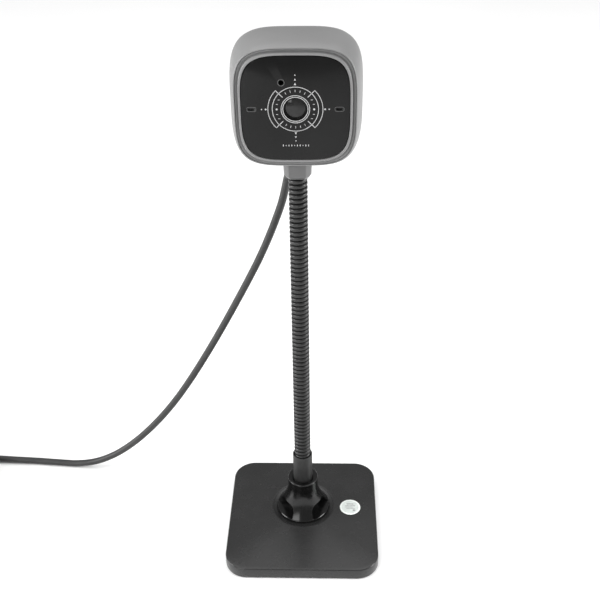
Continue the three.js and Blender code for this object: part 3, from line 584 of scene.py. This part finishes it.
# %% Head shell
grey_shell = moulded("head_grey", 117, 123, rough=0.42, patch=40, grain=0.3, relief=0.006)
shell_outside = smooth_route([[-25.7, 30.1], [-22, 30.9], [-17, 31], [-11, 30.5], [-6, 29.7], [-3.2, 29.05],
                              [-1.5, 28.5]], step=0.5)
shell_lip = rounded([[-1.5, 28.5], [-0.6, 28.1], [-0.6, 27.6], [-1.6, 27.55]], 0.45, 6)[6:18]
shell_inside = [[-5, 27.55], [-5.4, 27.6], [-6, 27.8], [-11, 28.6], [-17, 29.1], [-22, 29], [-25.9, 28.5]]
shell_back = [[-26, 28.7], [-26, 29.8]]
shell_profile = np.concatenate([shell_outside, shell_lip, shell_inside, shell_back])
shell = make("shell", looped(head_rings(shell_profile)), body="head", slot="head_shell_grey",
             finish=grey_shell, replaces=["head_shell"])
carve(shell, rod([0, HINGE_Y, 240], [0, HINGE_Y, 250], 4.9))

# %% [markdown]
# The rear half is a shallow dish. Its rings shrink to a small disc in the middle of the back, which closes
# it without a pole of thin triangles, and a round hole lets the strain relief through.

# %% Rear cover
rear_outside = smooth_route([[-35.4, 1.5], [-35.4, 7], [-35.35, 14], [-34.9, 19], [-33.4, 23.4],
                             [-30.8, 27.3], [-28.4, 29.2], [-26.6, 30]], step=0.8)
rear_edge = [[-26.3, 29.9], [-26.3, 28.4]]
rear_inside = [[-28.6, 27.4], [-31, 25], [-32.8, 20.5], [-33.4, 14], [-33.5, 1.5]]
rear = make("rear_half", capped(head_rings(np.concatenate([rear_outside, rear_edge, rear_inside]))),
            body="head", slot="head_shell_grey", finish=grey_shell, replaces=["rear_cover"])
relief_way = RELIEF_END - RELIEF_START
carve(rear, rod(RELIEF_START - 0.2 * relief_way, RELIEF_END, 3.7))

# %% [markdown]
# ## Front frame
# The frame holds the black panel. A narrow raised land runs round the panel. Outside the land the frame
# drops into a groove, and from there it slopes out and forward to the shell's lip. A ledge behind the
# panel has four bosses that carry the circuit board.
# The section is a closed outline with small rounded corners, carried round a squircle, which keeps the
# groove even at the corners.

# %% Front frame
frame_profile = rounded([[-4.3, 27.4], [-0.75, 27.4], [-1.75, 26.15], [0.1, 25.95], [0.3, 25.7], [0.3, 24.95],
                         [-2.3, 24.95], [-2.3, 22.45], [-4.3, 22.45]], 0.18, 4)
BOSS_X, BOSS_Z = 17, 14
ARM_NEAR, ARM_FAR, ARM_DEPTH = 2, 8, 3.3


def boss(x, z):
    """A round post with a screw hole, from the ledge back to the board, and the arm that carries it."""
    wall = rounded([[-13.7, 1.3], [-13.7, 2.4], [-2.5, 2.4], [-2.5, 1.3]], 0.2, 3)
    rings = head_rings(wall, plain_circle)[:, ::6]
    post = looped(rings + np.array([x, 0, z]))
    near, far = x + math.copysign(ARM_NEAR, x), x + math.copysign(ARM_FAR, x)
    ends = np.array([[near, FACE_Y + ARM_DEPTH, LENS_Z + z], [far, FACE_Y + ARM_DEPTH, LENS_Z + z]])
    arm = capped(sweep(ends, rounded(box_outline(-1, 1, -1.5, 1.5), 0.3, 3), (0, 0, 1)))
    return post, arm


boss_skins = [skin for x in (-BOSS_X, BOSS_X) for z in (-BOSS_Z, BOSS_Z) for skin in boss(x, z)]
make("front_frame", looped(head_rings(frame_profile)), *boss_skins, body="head",
     slot="head_shell_grey", finish=grey_shell, replaces=["front_bezel"])

# %% [markdown]
# ## Front panel and its print
# The panel is a plate of black acrylic with slots for two microphones and a hole for the status light.
# Aiming marks are printed on it in pale ink. They could be painted by the material, but thin raised
# strips stay sharp at any distance and are real geometry.

# %% Front panel
MIC_X, LIGHT_PLACE, LIGHT_RADIUS, WINDOW_RADIUS = 20, (-6.3, 12.5), 1.15, 5.25
PANEL_HALF, PANEL_THICK, CUT_BACK, CUT_FRONT = 24.65, 2, FACE_Y + 4, FACE_Y - 2
acrylic = moulded("black_acrylic", 16, 22, rough=0.07, spread=0.02, patch=30, grain=4, relief=0.002,
                  Specular_IOR_Level=0.2)


def bar_hole(x, z, width, height):
    """A rounded bar right through the panel, as a skin to cut with."""
    outline = rounded(box_outline(-width / 2, width / 2, -height / 2, height / 2), height / 2, 9)
    path = np.array([[x, CUT_BACK, LENS_Z + z], [x, CUT_FRONT, LENS_Z + z]])
    return capped(sweep(path, outline, (0, 0, 1)))


def round_hole(x, z, radius, sides=48):
    """A round rod right through the panel, as a skin to cut with."""
    return rod([x, CUT_BACK, LENS_Z + z], [x, CUT_FRONT, LENS_Z + z], radius, sides)


panel_profile = [[-PANEL_THICK, PANEL_HALF], [-0.3, PANEL_HALF], [-0.08, PANEL_HALF - 0.05],
                 [0, PANEL_HALF - 0.3]]
panel = make("panel", capped(head_rings(panel_profile)), body="head", slot="black_acrylic",
             finish=acrylic, replaces=["front_panel"])
mic_slots = [bar_hole(x, 0, 3.4, 1.3) for x in (-MIC_X, MIC_X)]
carve(panel, *mic_slots, round_hole(*LIGHT_PLACE, LIGHT_RADIUS), round_hole(0, 0, WINDOW_RADIUS, 96))

# %% [markdown]
# Every mark is a thin strip that follows a line on the panel. A strip's section is a flat box. Strips
# that close on themselves make rings, and filled triangles and dots are short stacks of two outlines.

# %% Marks as strips
INK_HEIGHT = 0.03
pale_ink = moulded("pale_ink", 176, 186, rough=0.5, patch=3, grain=0.2, relief=0.002)
faint_ink = moulded("faint_ink", 78, 88, rough=0.4, patch=3, grain=0.2, relief=0.002)
FORWARD = (0, -1, 0)


def on_panel(points):
    """Places on the panel's front from pairs of across and up."""
    across, up = np.asarray(points, float).T
    return np.stack([across, np.full(len(across), FACE_Y), LENS_Z + up], axis=1)


def strip(points, width, closed=False):
    """A strip of ink along a line on the panel."""
    half = width / 2
    grid = sweep(on_panel(points), box_outline(-half, half, 0, INK_HEIGHT), FORWARD, closed)
    return looped(grid) if closed else capped(grid)


def arc(radius, start, stop, steps=48):
    """Points of a circular arc from one angle to another, in degrees from the right."""
    angle = np.radians(np.linspace(start, stop, steps))
    return radius * np.stack([np.cos(angle), np.sin(angle)], axis=1)


def on_circle(radius, angle):
    """The place on a circle at an angle in degrees."""
    return arc(radius, angle, angle, 1)[0]


def ray(angle, inner, outer):
    """A short straight line away from the lens, at an angle in degrees."""
    unit = on_circle(1, angle)
    return np.array([unit * inner, unit * outer])


def spot(outline):
    """A filled mark: an outline on the panel and the same outline one layer of ink higher."""
    low = on_panel(outline)
    return capped(np.stack([low, low + np.array(FORWARD) * INK_HEIGHT]))


print("a quarter of a ring of ink has", len(strip(arc(10, 0, 90), 0.3)[0]), "points")

# %% [markdown]
# The marks are three rings, arcs at both sides, diagonal lines, short ticks, and rows of dots and
# triangles that shrink outwards. Ten small bars below stand for a caption.

# %% Aiming marks
RING_INK = 0.28
marks = [strip(circle(r, 96), RING_INK, closed=True) for r in (6.5, 5.72)]
marks.append(strip(circle(10.5, 128), RING_INK, closed=True))
for side in (0, 180):
    marks.append(strip(arc(12.5, side - 45, side + 45), RING_INK))
marks += [strip(ray(angle, 8.0, 12.65), 0.32) for angle in (45, 135, 225, 315)]
for middle in (90, 270):
    marks += [strip(ray(middle + aside, 8.1, 9.2), 0.22) for aside in (-30, -15, 0, 15, 30)]
for middle in (0, 180):
    for aside in (-31, -16, 16, 31):
        place = on_circle(8.7, middle + aside)
        marks.append(strip([place - [0.45, 0], place + [0.45, 0]], 0.24))
    marks.append(spot(circle(0.46, 20) + on_circle(8.5, middle)))
for up, size in ((11.9, 0.55), (14.0, 0.47), (16.1, 0.34), (-11.6, -0.55), (-13.5, -0.47), (-15.4, -0.34)):
    triangle = np.array([[-1, -0.9], [1, -0.9], [0, 1]]) * abs(size)
    triangle = triangle if size > 0 else triangle[::-1] * [1, -1]
    marks.append(spot(triangle + [0, up]))
for across, size in ((13.5, 0.42), (15.4, 0.3), (-13.5, 0.42), (-15.4, 0.3)):
    marks.append(spot(circle(size, 16) + [across, 0]))
CAPTION, CAPTION_UP, CAPTION_STEP = [0.9, 0.45, 0.9, 0.9, 0.45, 0.9, 0.9, 0.45, 0.9, 0.9], -17.6, 1.3
for i, height in enumerate(CAPTION):
    across = (i - (len(CAPTION) - 1) / 2) * CAPTION_STEP
    marks.append(strip([[across, CAPTION_UP - height / 2], [across, CAPTION_UP + height / 2]], 0.34))
make("aiming_marks", *marks, body="head", slot="black_acrylic", finish=pale_ink)

mic_outline = rounded(box_outline(-2.05, 2.05, -1, 1), 0.95, 9)
faint = [strip(mic_outline + [x, 0], 0.22, closed=True) for x in (-MIC_X, MIC_X)]
faint.append(strip(circle(1.5, 40) + LIGHT_PLACE, 0.22, closed=True))
make("opening_outlines", *faint, body="head", slot="black_acrylic", finish=faint_ink)

# %% [markdown]
# ## Lens
# Behind the round opening in the panel sits the lens barrel: a black ring, and inside it a domed front
# glass. The glass is coated, so it shows a soft dark tone and a small sharp highlight.

# %% Lens ring and glass
lens_black = moulded("lens_black", 12, 18, rough=0.3, patch=3, grain=0.2, relief=0.01)
lens_tone = moulded("lens_tone", 30, 38, rough=0.05, spread=0.02, patch=4, grain=3, relief=0.002,
                    Specular_IOR_Level=0.3)


def lens_rings(profile):
    """Round rings about the lens axis from pairs of depth and radius."""
    return head_rings(profile, plain_circle)[:, ::2]


ring_profile = rounded([[-10, 5.0], [-0.5, 5.0], [-0.45, 4.85], [-0.9, 4.75], [-10, 4.75]], 0.12, 3)
make("lens_ring", looped(lens_rings(ring_profile)), body="head", slot="black_satin_plastic",
     finish=lens_black, replaces=["lens_barrel"])
DOME_RADIUS, DOME_FRONT = 14, -0.25
dome_angle = np.linspace(0.34, 0.02, 30)
dome_depth = DOME_FRONT - DOME_RADIUS * (1 - np.cos(dome_angle))
dome = np.stack([dome_depth, DOME_RADIUS * np.sin(dome_angle)], axis=1)
glass_profile = np.concatenate([[[-6, 4.67]], dome])
make("front_glass", capped(lens_rings(glass_profile)), body="head", slot="lens_glass", finish=lens_tone,
     replaces=["lens_glass"])

# %% [markdown]
# ## Neck
# A short grey block joins the hose to the head. Its front and back are flat, its flanks slope, and its
# lower edge is drawn in. Going up, its rings change from the round hole for the hose to the block's
# outline and back to the round stub that goes into the shell.

# %% Neck
NECK_HALF, NECK_FACE = 7.1, 4.3
# The neck is the shell's plastic, given a darker grey here: painted shade for the head's shadow on the neck.
neck_painted_shade_grey = moulded("neck_painted_shade_grey", 84, 90, rough=0.38, patch=12, grain=0.3, relief=0.006)


def outline_distance(points):
    """Distance from the middle to a closed outline, for every angle. The outline is cut into many short
    steps, and each step's angle and distance are looked up."""
    closed = np.concatenate([points, points[:1]])
    fine = np.linspace(0, len(points), 4000, endpoint=False)
    x, y = (np.interp(fine, np.arange(len(closed)), axis) for axis in closed.T)
    angle = np.arctan2(y, x) % FULL_TURN
    order = np.argsort(angle)
    return np.interp(round_angle, angle[order], np.hypot(x, y)[order], period=FULL_TURN)


flank = [[NECK_FACE, -NECK_HALF], [6.5, -4.3], [NECK_HALF, -2.7], [NECK_HALF, 2.7], [6.5, 4.3],
         [NECK_FACE, NECK_HALF]]
block = rounded(flank + [[-x, y] for x, y in flank[::-1]], 0.4, 6)
block_distance = outline_distance(block)


def stem_rings(rows):
    """Rings about the stem's axis from triples of height, size and squareness. With squareness 0 a ring
    is a circle of that size, and with 1 it is the neck's outline scaled to that size."""
    height, size, square = np.asarray(rows, float).T[:, :, None]
    radius = size * (1 - square + square * block_distance / NECK_HALF)
    return about(STEM, round_angle, radius, height)


neck_rows = [
    [238.7, 5.1, 0], [233.7, 5.1, 0], [233.42, 5.3, 0.2], [233.4, 5.6, 1], [233.5, 5.8, 1], [234.9, 6.65, 1],
    [235.1, 6.74, 1], [235.4, 6.8, 1], [241.9, 7.08, 1], [242.25, 7.05, 1], [242.4, 6.9, 1],
    [242.4, 5, 0.5], [242.4, 4.6, 0], [250.6, 4.6, 0], [251, 4.2, 0], [251, 0.4, 0], [238.7, 0.4, 0],
]
make("neck_block", looped(stem_rings(neck_rows)), body="head", slot="head_shell_grey", finish=neck_painted_shade_grey,
     replaces=["neck"])

# %% [markdown]
# ## Collar and sleeve
# The collar is glossy black plastic. It flares out to its foot, and three pockets with arched tops are
# sunk into the flare, which leaves three ribs, one of them in front.
# Pockets could be cut out with a Boolean. Here the radius is worked out for every height and angle
# instead, once for the flare and once for a pocket's back wall, with a smooth step between the two that
# gives the pocket its edge.

# %% Fluted collar
COLLAR_BOTTOM, COLLAR_HEIGHT, COLLAR_NECK, COLLAR_RIM = 8.4, 24, 6, 1.4
COLLAR_FOOT, COLLAR_TOP, FOOT_ROUND, FLARE_POWER = 16, 9, 0.4, 1.7
POCKETS, POCKET_TOP, POCKET_SPREAD, POCKET_WALL, POCKET_EDGE = 3, 8.6, 36, 9.6, 0.12
RIB_ANGLE = 30
collar_angle = np.arange(360) / 360 * FULL_TURN
gloss_black = moulded("gloss_black", 8, 14, rough=0.17, spread=0.04, patch=10, grain=2.5, relief=0.004,
                      Specular_IOR_Level=0.4)


def collar_rings():
    """Rings from the foot to the top. The flare's radius falls as a power of the height left. A pocket is
    the inside of an oval with an exponent of four on the unrolled surface: the angle from its middle and
    the height, each as a share of the pocket's own reach. The ribs lie midway between the pockets, and
    one of them points along -Y."""
    height = np.linspace(COLLAR_RIM, COLLAR_HEIGHT - 0.5, 130)[:, None]
    left = np.clip(1 - (height - COLLAR_RIM) / (COLLAR_HEIGHT - COLLAR_NECK - COLLAR_RIM), 0, 1)
    flare = COLLAR_TOP + (COLLAR_FOOT - FOOT_ROUND - COLLAR_TOP) * left ** FLARE_POWER
    each = 360 / POCKETS
    away = np.abs((np.degrees(collar_angle) - RIB_ANGLE) % each - each / 2)[None, :]
    reach = ((away / POCKET_SPREAD) ** 4 + (height / POCKET_TOP) ** 4) ** 0.25
    share = smooth_step(1 - reach, 0, POCKET_EDGE)
    radius = flare * (1 - share) + np.minimum(flare, POCKET_WALL) * share
    return about(STEM, collar_angle, radius, COLLAR_BOTTOM + height)


def plain_rings(middle, angle, rows):
    """Round rings about an upright axis from pairs of radius and height."""
    radius, height = np.asarray(rows, float).T[:, :, None]
    return about(middle, angle, radius, height)


foot_rows = [[4.6, 8.4], [15.6, 8.4], [15.9, 8.55], [16, 8.8], [16, 9.3], [15.9, 9.55], [15.7, 9.75]]
top_rows = [[8.93, 32.15], [8.75, 32.33], [8.4, 32.4], [6.4, 32.4], [6.1, 32.3], [6.05, 32], [6.05, 30.1],
            [4.6, 30.1]]
collar_grid = np.concatenate([plain_rings(STEM, collar_angle, foot_rows), collar_rings(),
                              plain_rings(STEM, collar_angle, top_rows)])
make("collar", looped(collar_grid), body="base", slot="black_gloss_plastic", finish=gloss_black,
     replaces=["fluted_collar"])

# %% [markdown]
# The sleeve is a plain turned tube of satin plastic that covers the end of the hose. A profile with
# rounded corners, carried round the stem's axis, gives it inside and outside at once.

# %% Sleeve
sleeve_profile = rounded([[4.3, 30.4], [5.75, 30.4], [5.75, 51], [5.1, 51], [5.1, 44.7], [4.3, 44.7]],
                         0.45, 6)
sleeve_rows = [[height, radius, 0] for radius, height in sleeve_profile]
make("sleeve", looped(stem_rings(sleeve_rows)), body="base", slot="black_satin_plastic", finish=satin_black,
     replaces=["stem_sleeve"])

# %% [markdown]
# ## Base
# The base cover is a square plate with round corners, slightly domed, with a shallow round seat for the
# collar. One grid makes all of it: from the seat out to the edge, down the skirt, back under the top and
# up through the hole for the stud.
# The height of the dome depends on how far out a point is, measured as a share of the way to the edge.

# %% Base cover
BASE_HALF, BASE_CORNER, EDGE_TOP, EDGE_ROUND, CROWN, DOME_INSET = 45, 13, 7.6, 0.9, 1.2, 0.7
SEAT_RIM, STUD_HOLE, SEAT_FLOOR, COVER_UNDERSIDE = 18.9, 4.6, 8.1, 5.6
base_grey = moulded("base_grey", 30, 36, rough=0.27, spread=0.03, patch=30, grain=0.5, relief=0.004,
                    Specular_IOR_Level=0.42)
base_angle = np.arange(384) / 384 * FULL_TURN


def rounded_square(angle, half, corner):
    """Distance from the middle to a square with round corners. A ray ends on a side, or, where that
    point would lie past the corner's start, on the corner's circle."""
    c, s = np.abs(np.cos(angle)), np.abs(np.sin(angle))
    side = half / np.maximum(c, s)
    reach = half - corner
    along = reach * (c + s)
    arc_distance = along + np.sqrt(np.maximum(along ** 2 - 2 * reach ** 2 + corner ** 2, 0))
    return np.where(np.minimum(c, s) * side <= reach, side, arc_distance)


def square_ring(inset, height):
    """A ring of the base's outline, moved in by inset, at a height."""
    radius = rounded_square(base_angle, BASE_HALF - inset, BASE_CORNER - inset)
    return about((0, 0), base_angle, radius, height)


def dome_height(points):
    """Height of the dome: it falls with the square of the share of the way out to the edge."""
    away = np.hypot(points[..., 0], points[..., 1])
    angle = np.arctan2(points[..., 1], points[..., 0])
    edge = rounded_square(angle, BASE_HALF - DOME_INSET, BASE_CORNER - DOME_INSET)
    return EDGE_TOP + CROWN * (1 - (away / edge) ** 2)


def base_top():
    """Rings from the seat's rim to the base's edge: each is a mix of the two, on the dome."""
    share = np.linspace(0, 1, 40)[:, None, None]
    rings = (1 - share) * about(STEM, base_angle, SEAT_RIM, 0) + share * square_ring(EDGE_ROUND, 0)
    rings[..., 2] = dome_height(rings)
    return rings


edge_turn = np.linspace(0, math.pi / 2, 7)[1:]
edge_rings = [square_ring(EDGE_ROUND * (1 - math.sin(a)), EDGE_TOP - EDGE_ROUND * (1 - math.cos(a)))
              for a in edge_turn]
skirt_rings = [square_ring(0, 0.8), square_ring(0.1, 0.55), square_ring(0.4, 0.5), square_ring(2, 0.5),
               square_ring(2, 5.3), square_ring(2.4, COVER_UNDERSIDE)]
hole_rows = [[19, COVER_UNDERSIDE], [STUD_HOLE, COVER_UNDERSIDE], [STUD_HOLE, SEAT_FLOOR],
             [18.3, SEAT_FLOOR], [18.58, 8.25], [SEAT_RIM - 0.3, 0]]
hole_rings = plain_rings(STEM, base_angle, hole_rows)
hole_rings[-1, :, 2] = dome_height(hole_rings[-1]) - 0.12
base_grid = np.concatenate([base_top(), edge_rings, skirt_rings, hole_rings])
make("base_top_cover", looped(base_grid), body="base", slot="base_dark_grey", finish=base_grey,
     replaces=["base_cover"])

# %% [markdown]
# ## Label
# A small round paper label is stuck on the right of the base. It is white at its rim, with a pale round
# field inside and a few grey bars that stand for its print.

# %% Round label
LABEL_PLACE, LABEL_RADIUS, FIELD_RADIUS, PRINT_HEIGHT = (29, 4), 6.3, 5.3, 0.03
paper = moulded("label_paper", 226, 238, rough=0.6, patch=2.5, grain=0.2, relief=0.01, tint=(0.95, 1, 0.96))
pale_green = moulded("label_print", 196, 208, rough=0.6, patch=2, grain=0.2, relief=0.005,
                     tint=(0.93, 1, 0.96))
label_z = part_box("round_label")[1][2] / MM
label_angle = np.arange(96) / 96 * FULL_TURN
label_rows = [[LABEL_RADIUS, label_z - 0.15], [LABEL_RADIUS, label_z - 0.03],
              [LABEL_RADIUS - 0.05, label_z], [1, label_z]]
make("label", capped(plain_rings(LABEL_PLACE, label_angle, label_rows)), body="base",
     slot="label_paper", finish=paper, replaces=["round_label"])
field_z = label_z + PRINT_HEIGHT / 2
field_rows = [[FIELD_RADIUS, label_z - 0.02], [FIELD_RADIUS, field_z], [1, field_z]]
make("label_field", capped(plain_rings(LABEL_PLACE, label_angle, field_rows)), body="base",
     slot="label_paper", finish=pale_green)

grey_print = moulded("label_bars", 120, 150, rough=0.6, patch=1, grain=0.2, relief=0.005)
LABEL_BARS = [(0, 2.6, 4.2, 0.7), (0, 1.1, 6.4, 0.45), (-0.8, 0, 4.8, 0.45), (0.4, -1.1, 5.6, 0.45),
              (2.4, -2.7, 1.6, 1.3)]


def label_bar(across, up, width, depth):
    """A flat bar of print on the label: a thin box about a place given from the label's middle."""
    box = np.array(box_outline(-width / 2, width / 2, -depth / 2, depth / 2))
    low = np.pad(box + LABEL_PLACE + (across, up), ((0, 0), (0, 1)), constant_values=label_z)
    return capped(np.stack([low, low + [0, 0, PRINT_HEIGHT]]))


make("label_bars", *[label_bar(*bar) for bar in LABEL_BARS], body="base", slot="label_paper",
     finish=grey_print)

# %% [markdown]
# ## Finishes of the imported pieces
# The pieces inside the head and under the base already have the right shape. Each gets a finish of its
# own kind: bare steel, rubber, circuit board, chip, white plastic or painted sheet steel.

# %% Finishes for hidden pieces
steel = moulded("zinc_steel", 150, 176, rough=0.3, patch=3, grain=0.4, relief=0.01, stretch=(1, 6, 1),
                Metallic=1.0)
sheet_steel = moulded("dark_sheet_steel", 34, 44, rough=0.5, patch=14, grain=0.4, relief=0.02, Metallic=0.3)
foot_rubber = moulded("foot_rubber", 20, 30, rough=0.85, patch=4, grain=0.4, relief=0.05)
board_green = moulded("board_green", 80, 104, rough=0.4, patch=2.2, grain=0.8, relief=0.03,
                      tint=(0.15, 1, 0.42))
chip_black = moulded("chip_black", 26, 34, rough=0.5, patch=2, grain=0.15, relief=0.01)
white_plastic = moulded("white_plastic", 222, 232, rough=0.45, patch=3, grain=0.2, relief=0.005)
FINISHES = [
    (steel, ["base_weight", "stem_stud", "stem_washer", "stem_nut", "neck_nut", "crystal_can",
             "microphone_left", "microphone_right", "plug_shell"]),
    (steel, [f"{kind}_screw_{i}" for kind in ("plate", "board") for i in range(1, 5)]),
    (foot_rubber, [f"rubber_foot_{i}" for i in range(1, 5)]),
    (sheet_steel, ["base_plate"]),
    (board_green, ["main_board"]),
    (chip_black, ["lens_holder", "image_sensor", "usb_controller"]),
    (white_plastic, ["cord_socket", "status_led", "plug_tongue"]),
]
shown = {name for name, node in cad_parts.items() if not node.hide_render}
for material, names in FINISHES:
    shown -= set(names)
    for name in names:
        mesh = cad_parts[name].data
        mesh.materials.clear()
        mesh.materials.append(material)
print("packed pieces still shown without a finish:", sorted(shown))

# %% [markdown]
# ## Floor and light
# The webcam stands on a wide pale sheet. It is a flat box, closed like every other piece.

# %% Floor
floor_paint = moulded("floor_white", 243, 246, rough=0.8, patch=400, grain=8, relief=0.01)
FLOOR_HALF, FLOOR_THICK = 4000, 20
floor_top = np.pad(box_outline(-FLOOR_HALF, FLOOR_HALF, -FLOOR_HALF, FLOOR_HALF), ((0, 0), (0, 1)))
floor = make("floor", capped(np.stack([floor_top - [0, 0, FLOOR_THICK], floor_top])), finish=floor_paint)

# %% [markdown]
# Square soft boxes are used, because small or bare lamps would draw hard spots on glossy plastic. Two at
# the sides light the flanks of the head and draw the long highlights on the black pieces. One in front
# brings out the collar and the base, a large one above lights the sheet, and a pale sky fills the
# shadows.

# %% Light
def soft_box(name, place, aim, size, power):
    """A square lamp at a place that faces a point, both in metres."""
    lamp = bpy.data.objects.new(name, bpy.data.lights.new(name, "AREA"))
    lamp.data.size, lamp.data.energy = size, power
    back = np.array(place, float) - np.array(aim, float)
    back /= np.linalg.norm(back)
    side = np.cross((0, 0, 1) if abs(back[2]) < 0.99 else (0, 1, 0), back)
    side /= np.linalg.norm(side)
    turn = Matrix(np.stack([side, np.cross(back, side), back], axis=1).tolist())
    lamp.matrix_world = Matrix.Translation(place) @ turn.to_4x4()
    bpy.context.scene.collection.objects.link(lamp)
    print(f"{name}: {size} m wide, {power} W")


MIDDLE = (0, 0, 0.15)
soft_box("box_left", (-1.1, -0.2, 0.4), MIDDLE, 0.5, 11)
soft_box("box_right", (1.1, -0.2, 0.4), MIDDLE, 0.5, 11)
soft_box("box_front", (-0.75, -1.25, 0.75), MIDDLE, 0.8, 9)
soft_box("box_above", (0, 0.3, 2.4), (0, 0.3, 0), 3, 54)
world = bpy.data.worlds.new("sky")
world.use_nodes = True
sky_light = world.node_tree.nodes["Background"].inputs
sky_light["Color"].default_value, sky_light["Strength"].default_value = (1, 1, 1, 1), 0.4
bpy.context.scene.world = world
bpy.context.scene.view_settings.view_transform = "Standard"
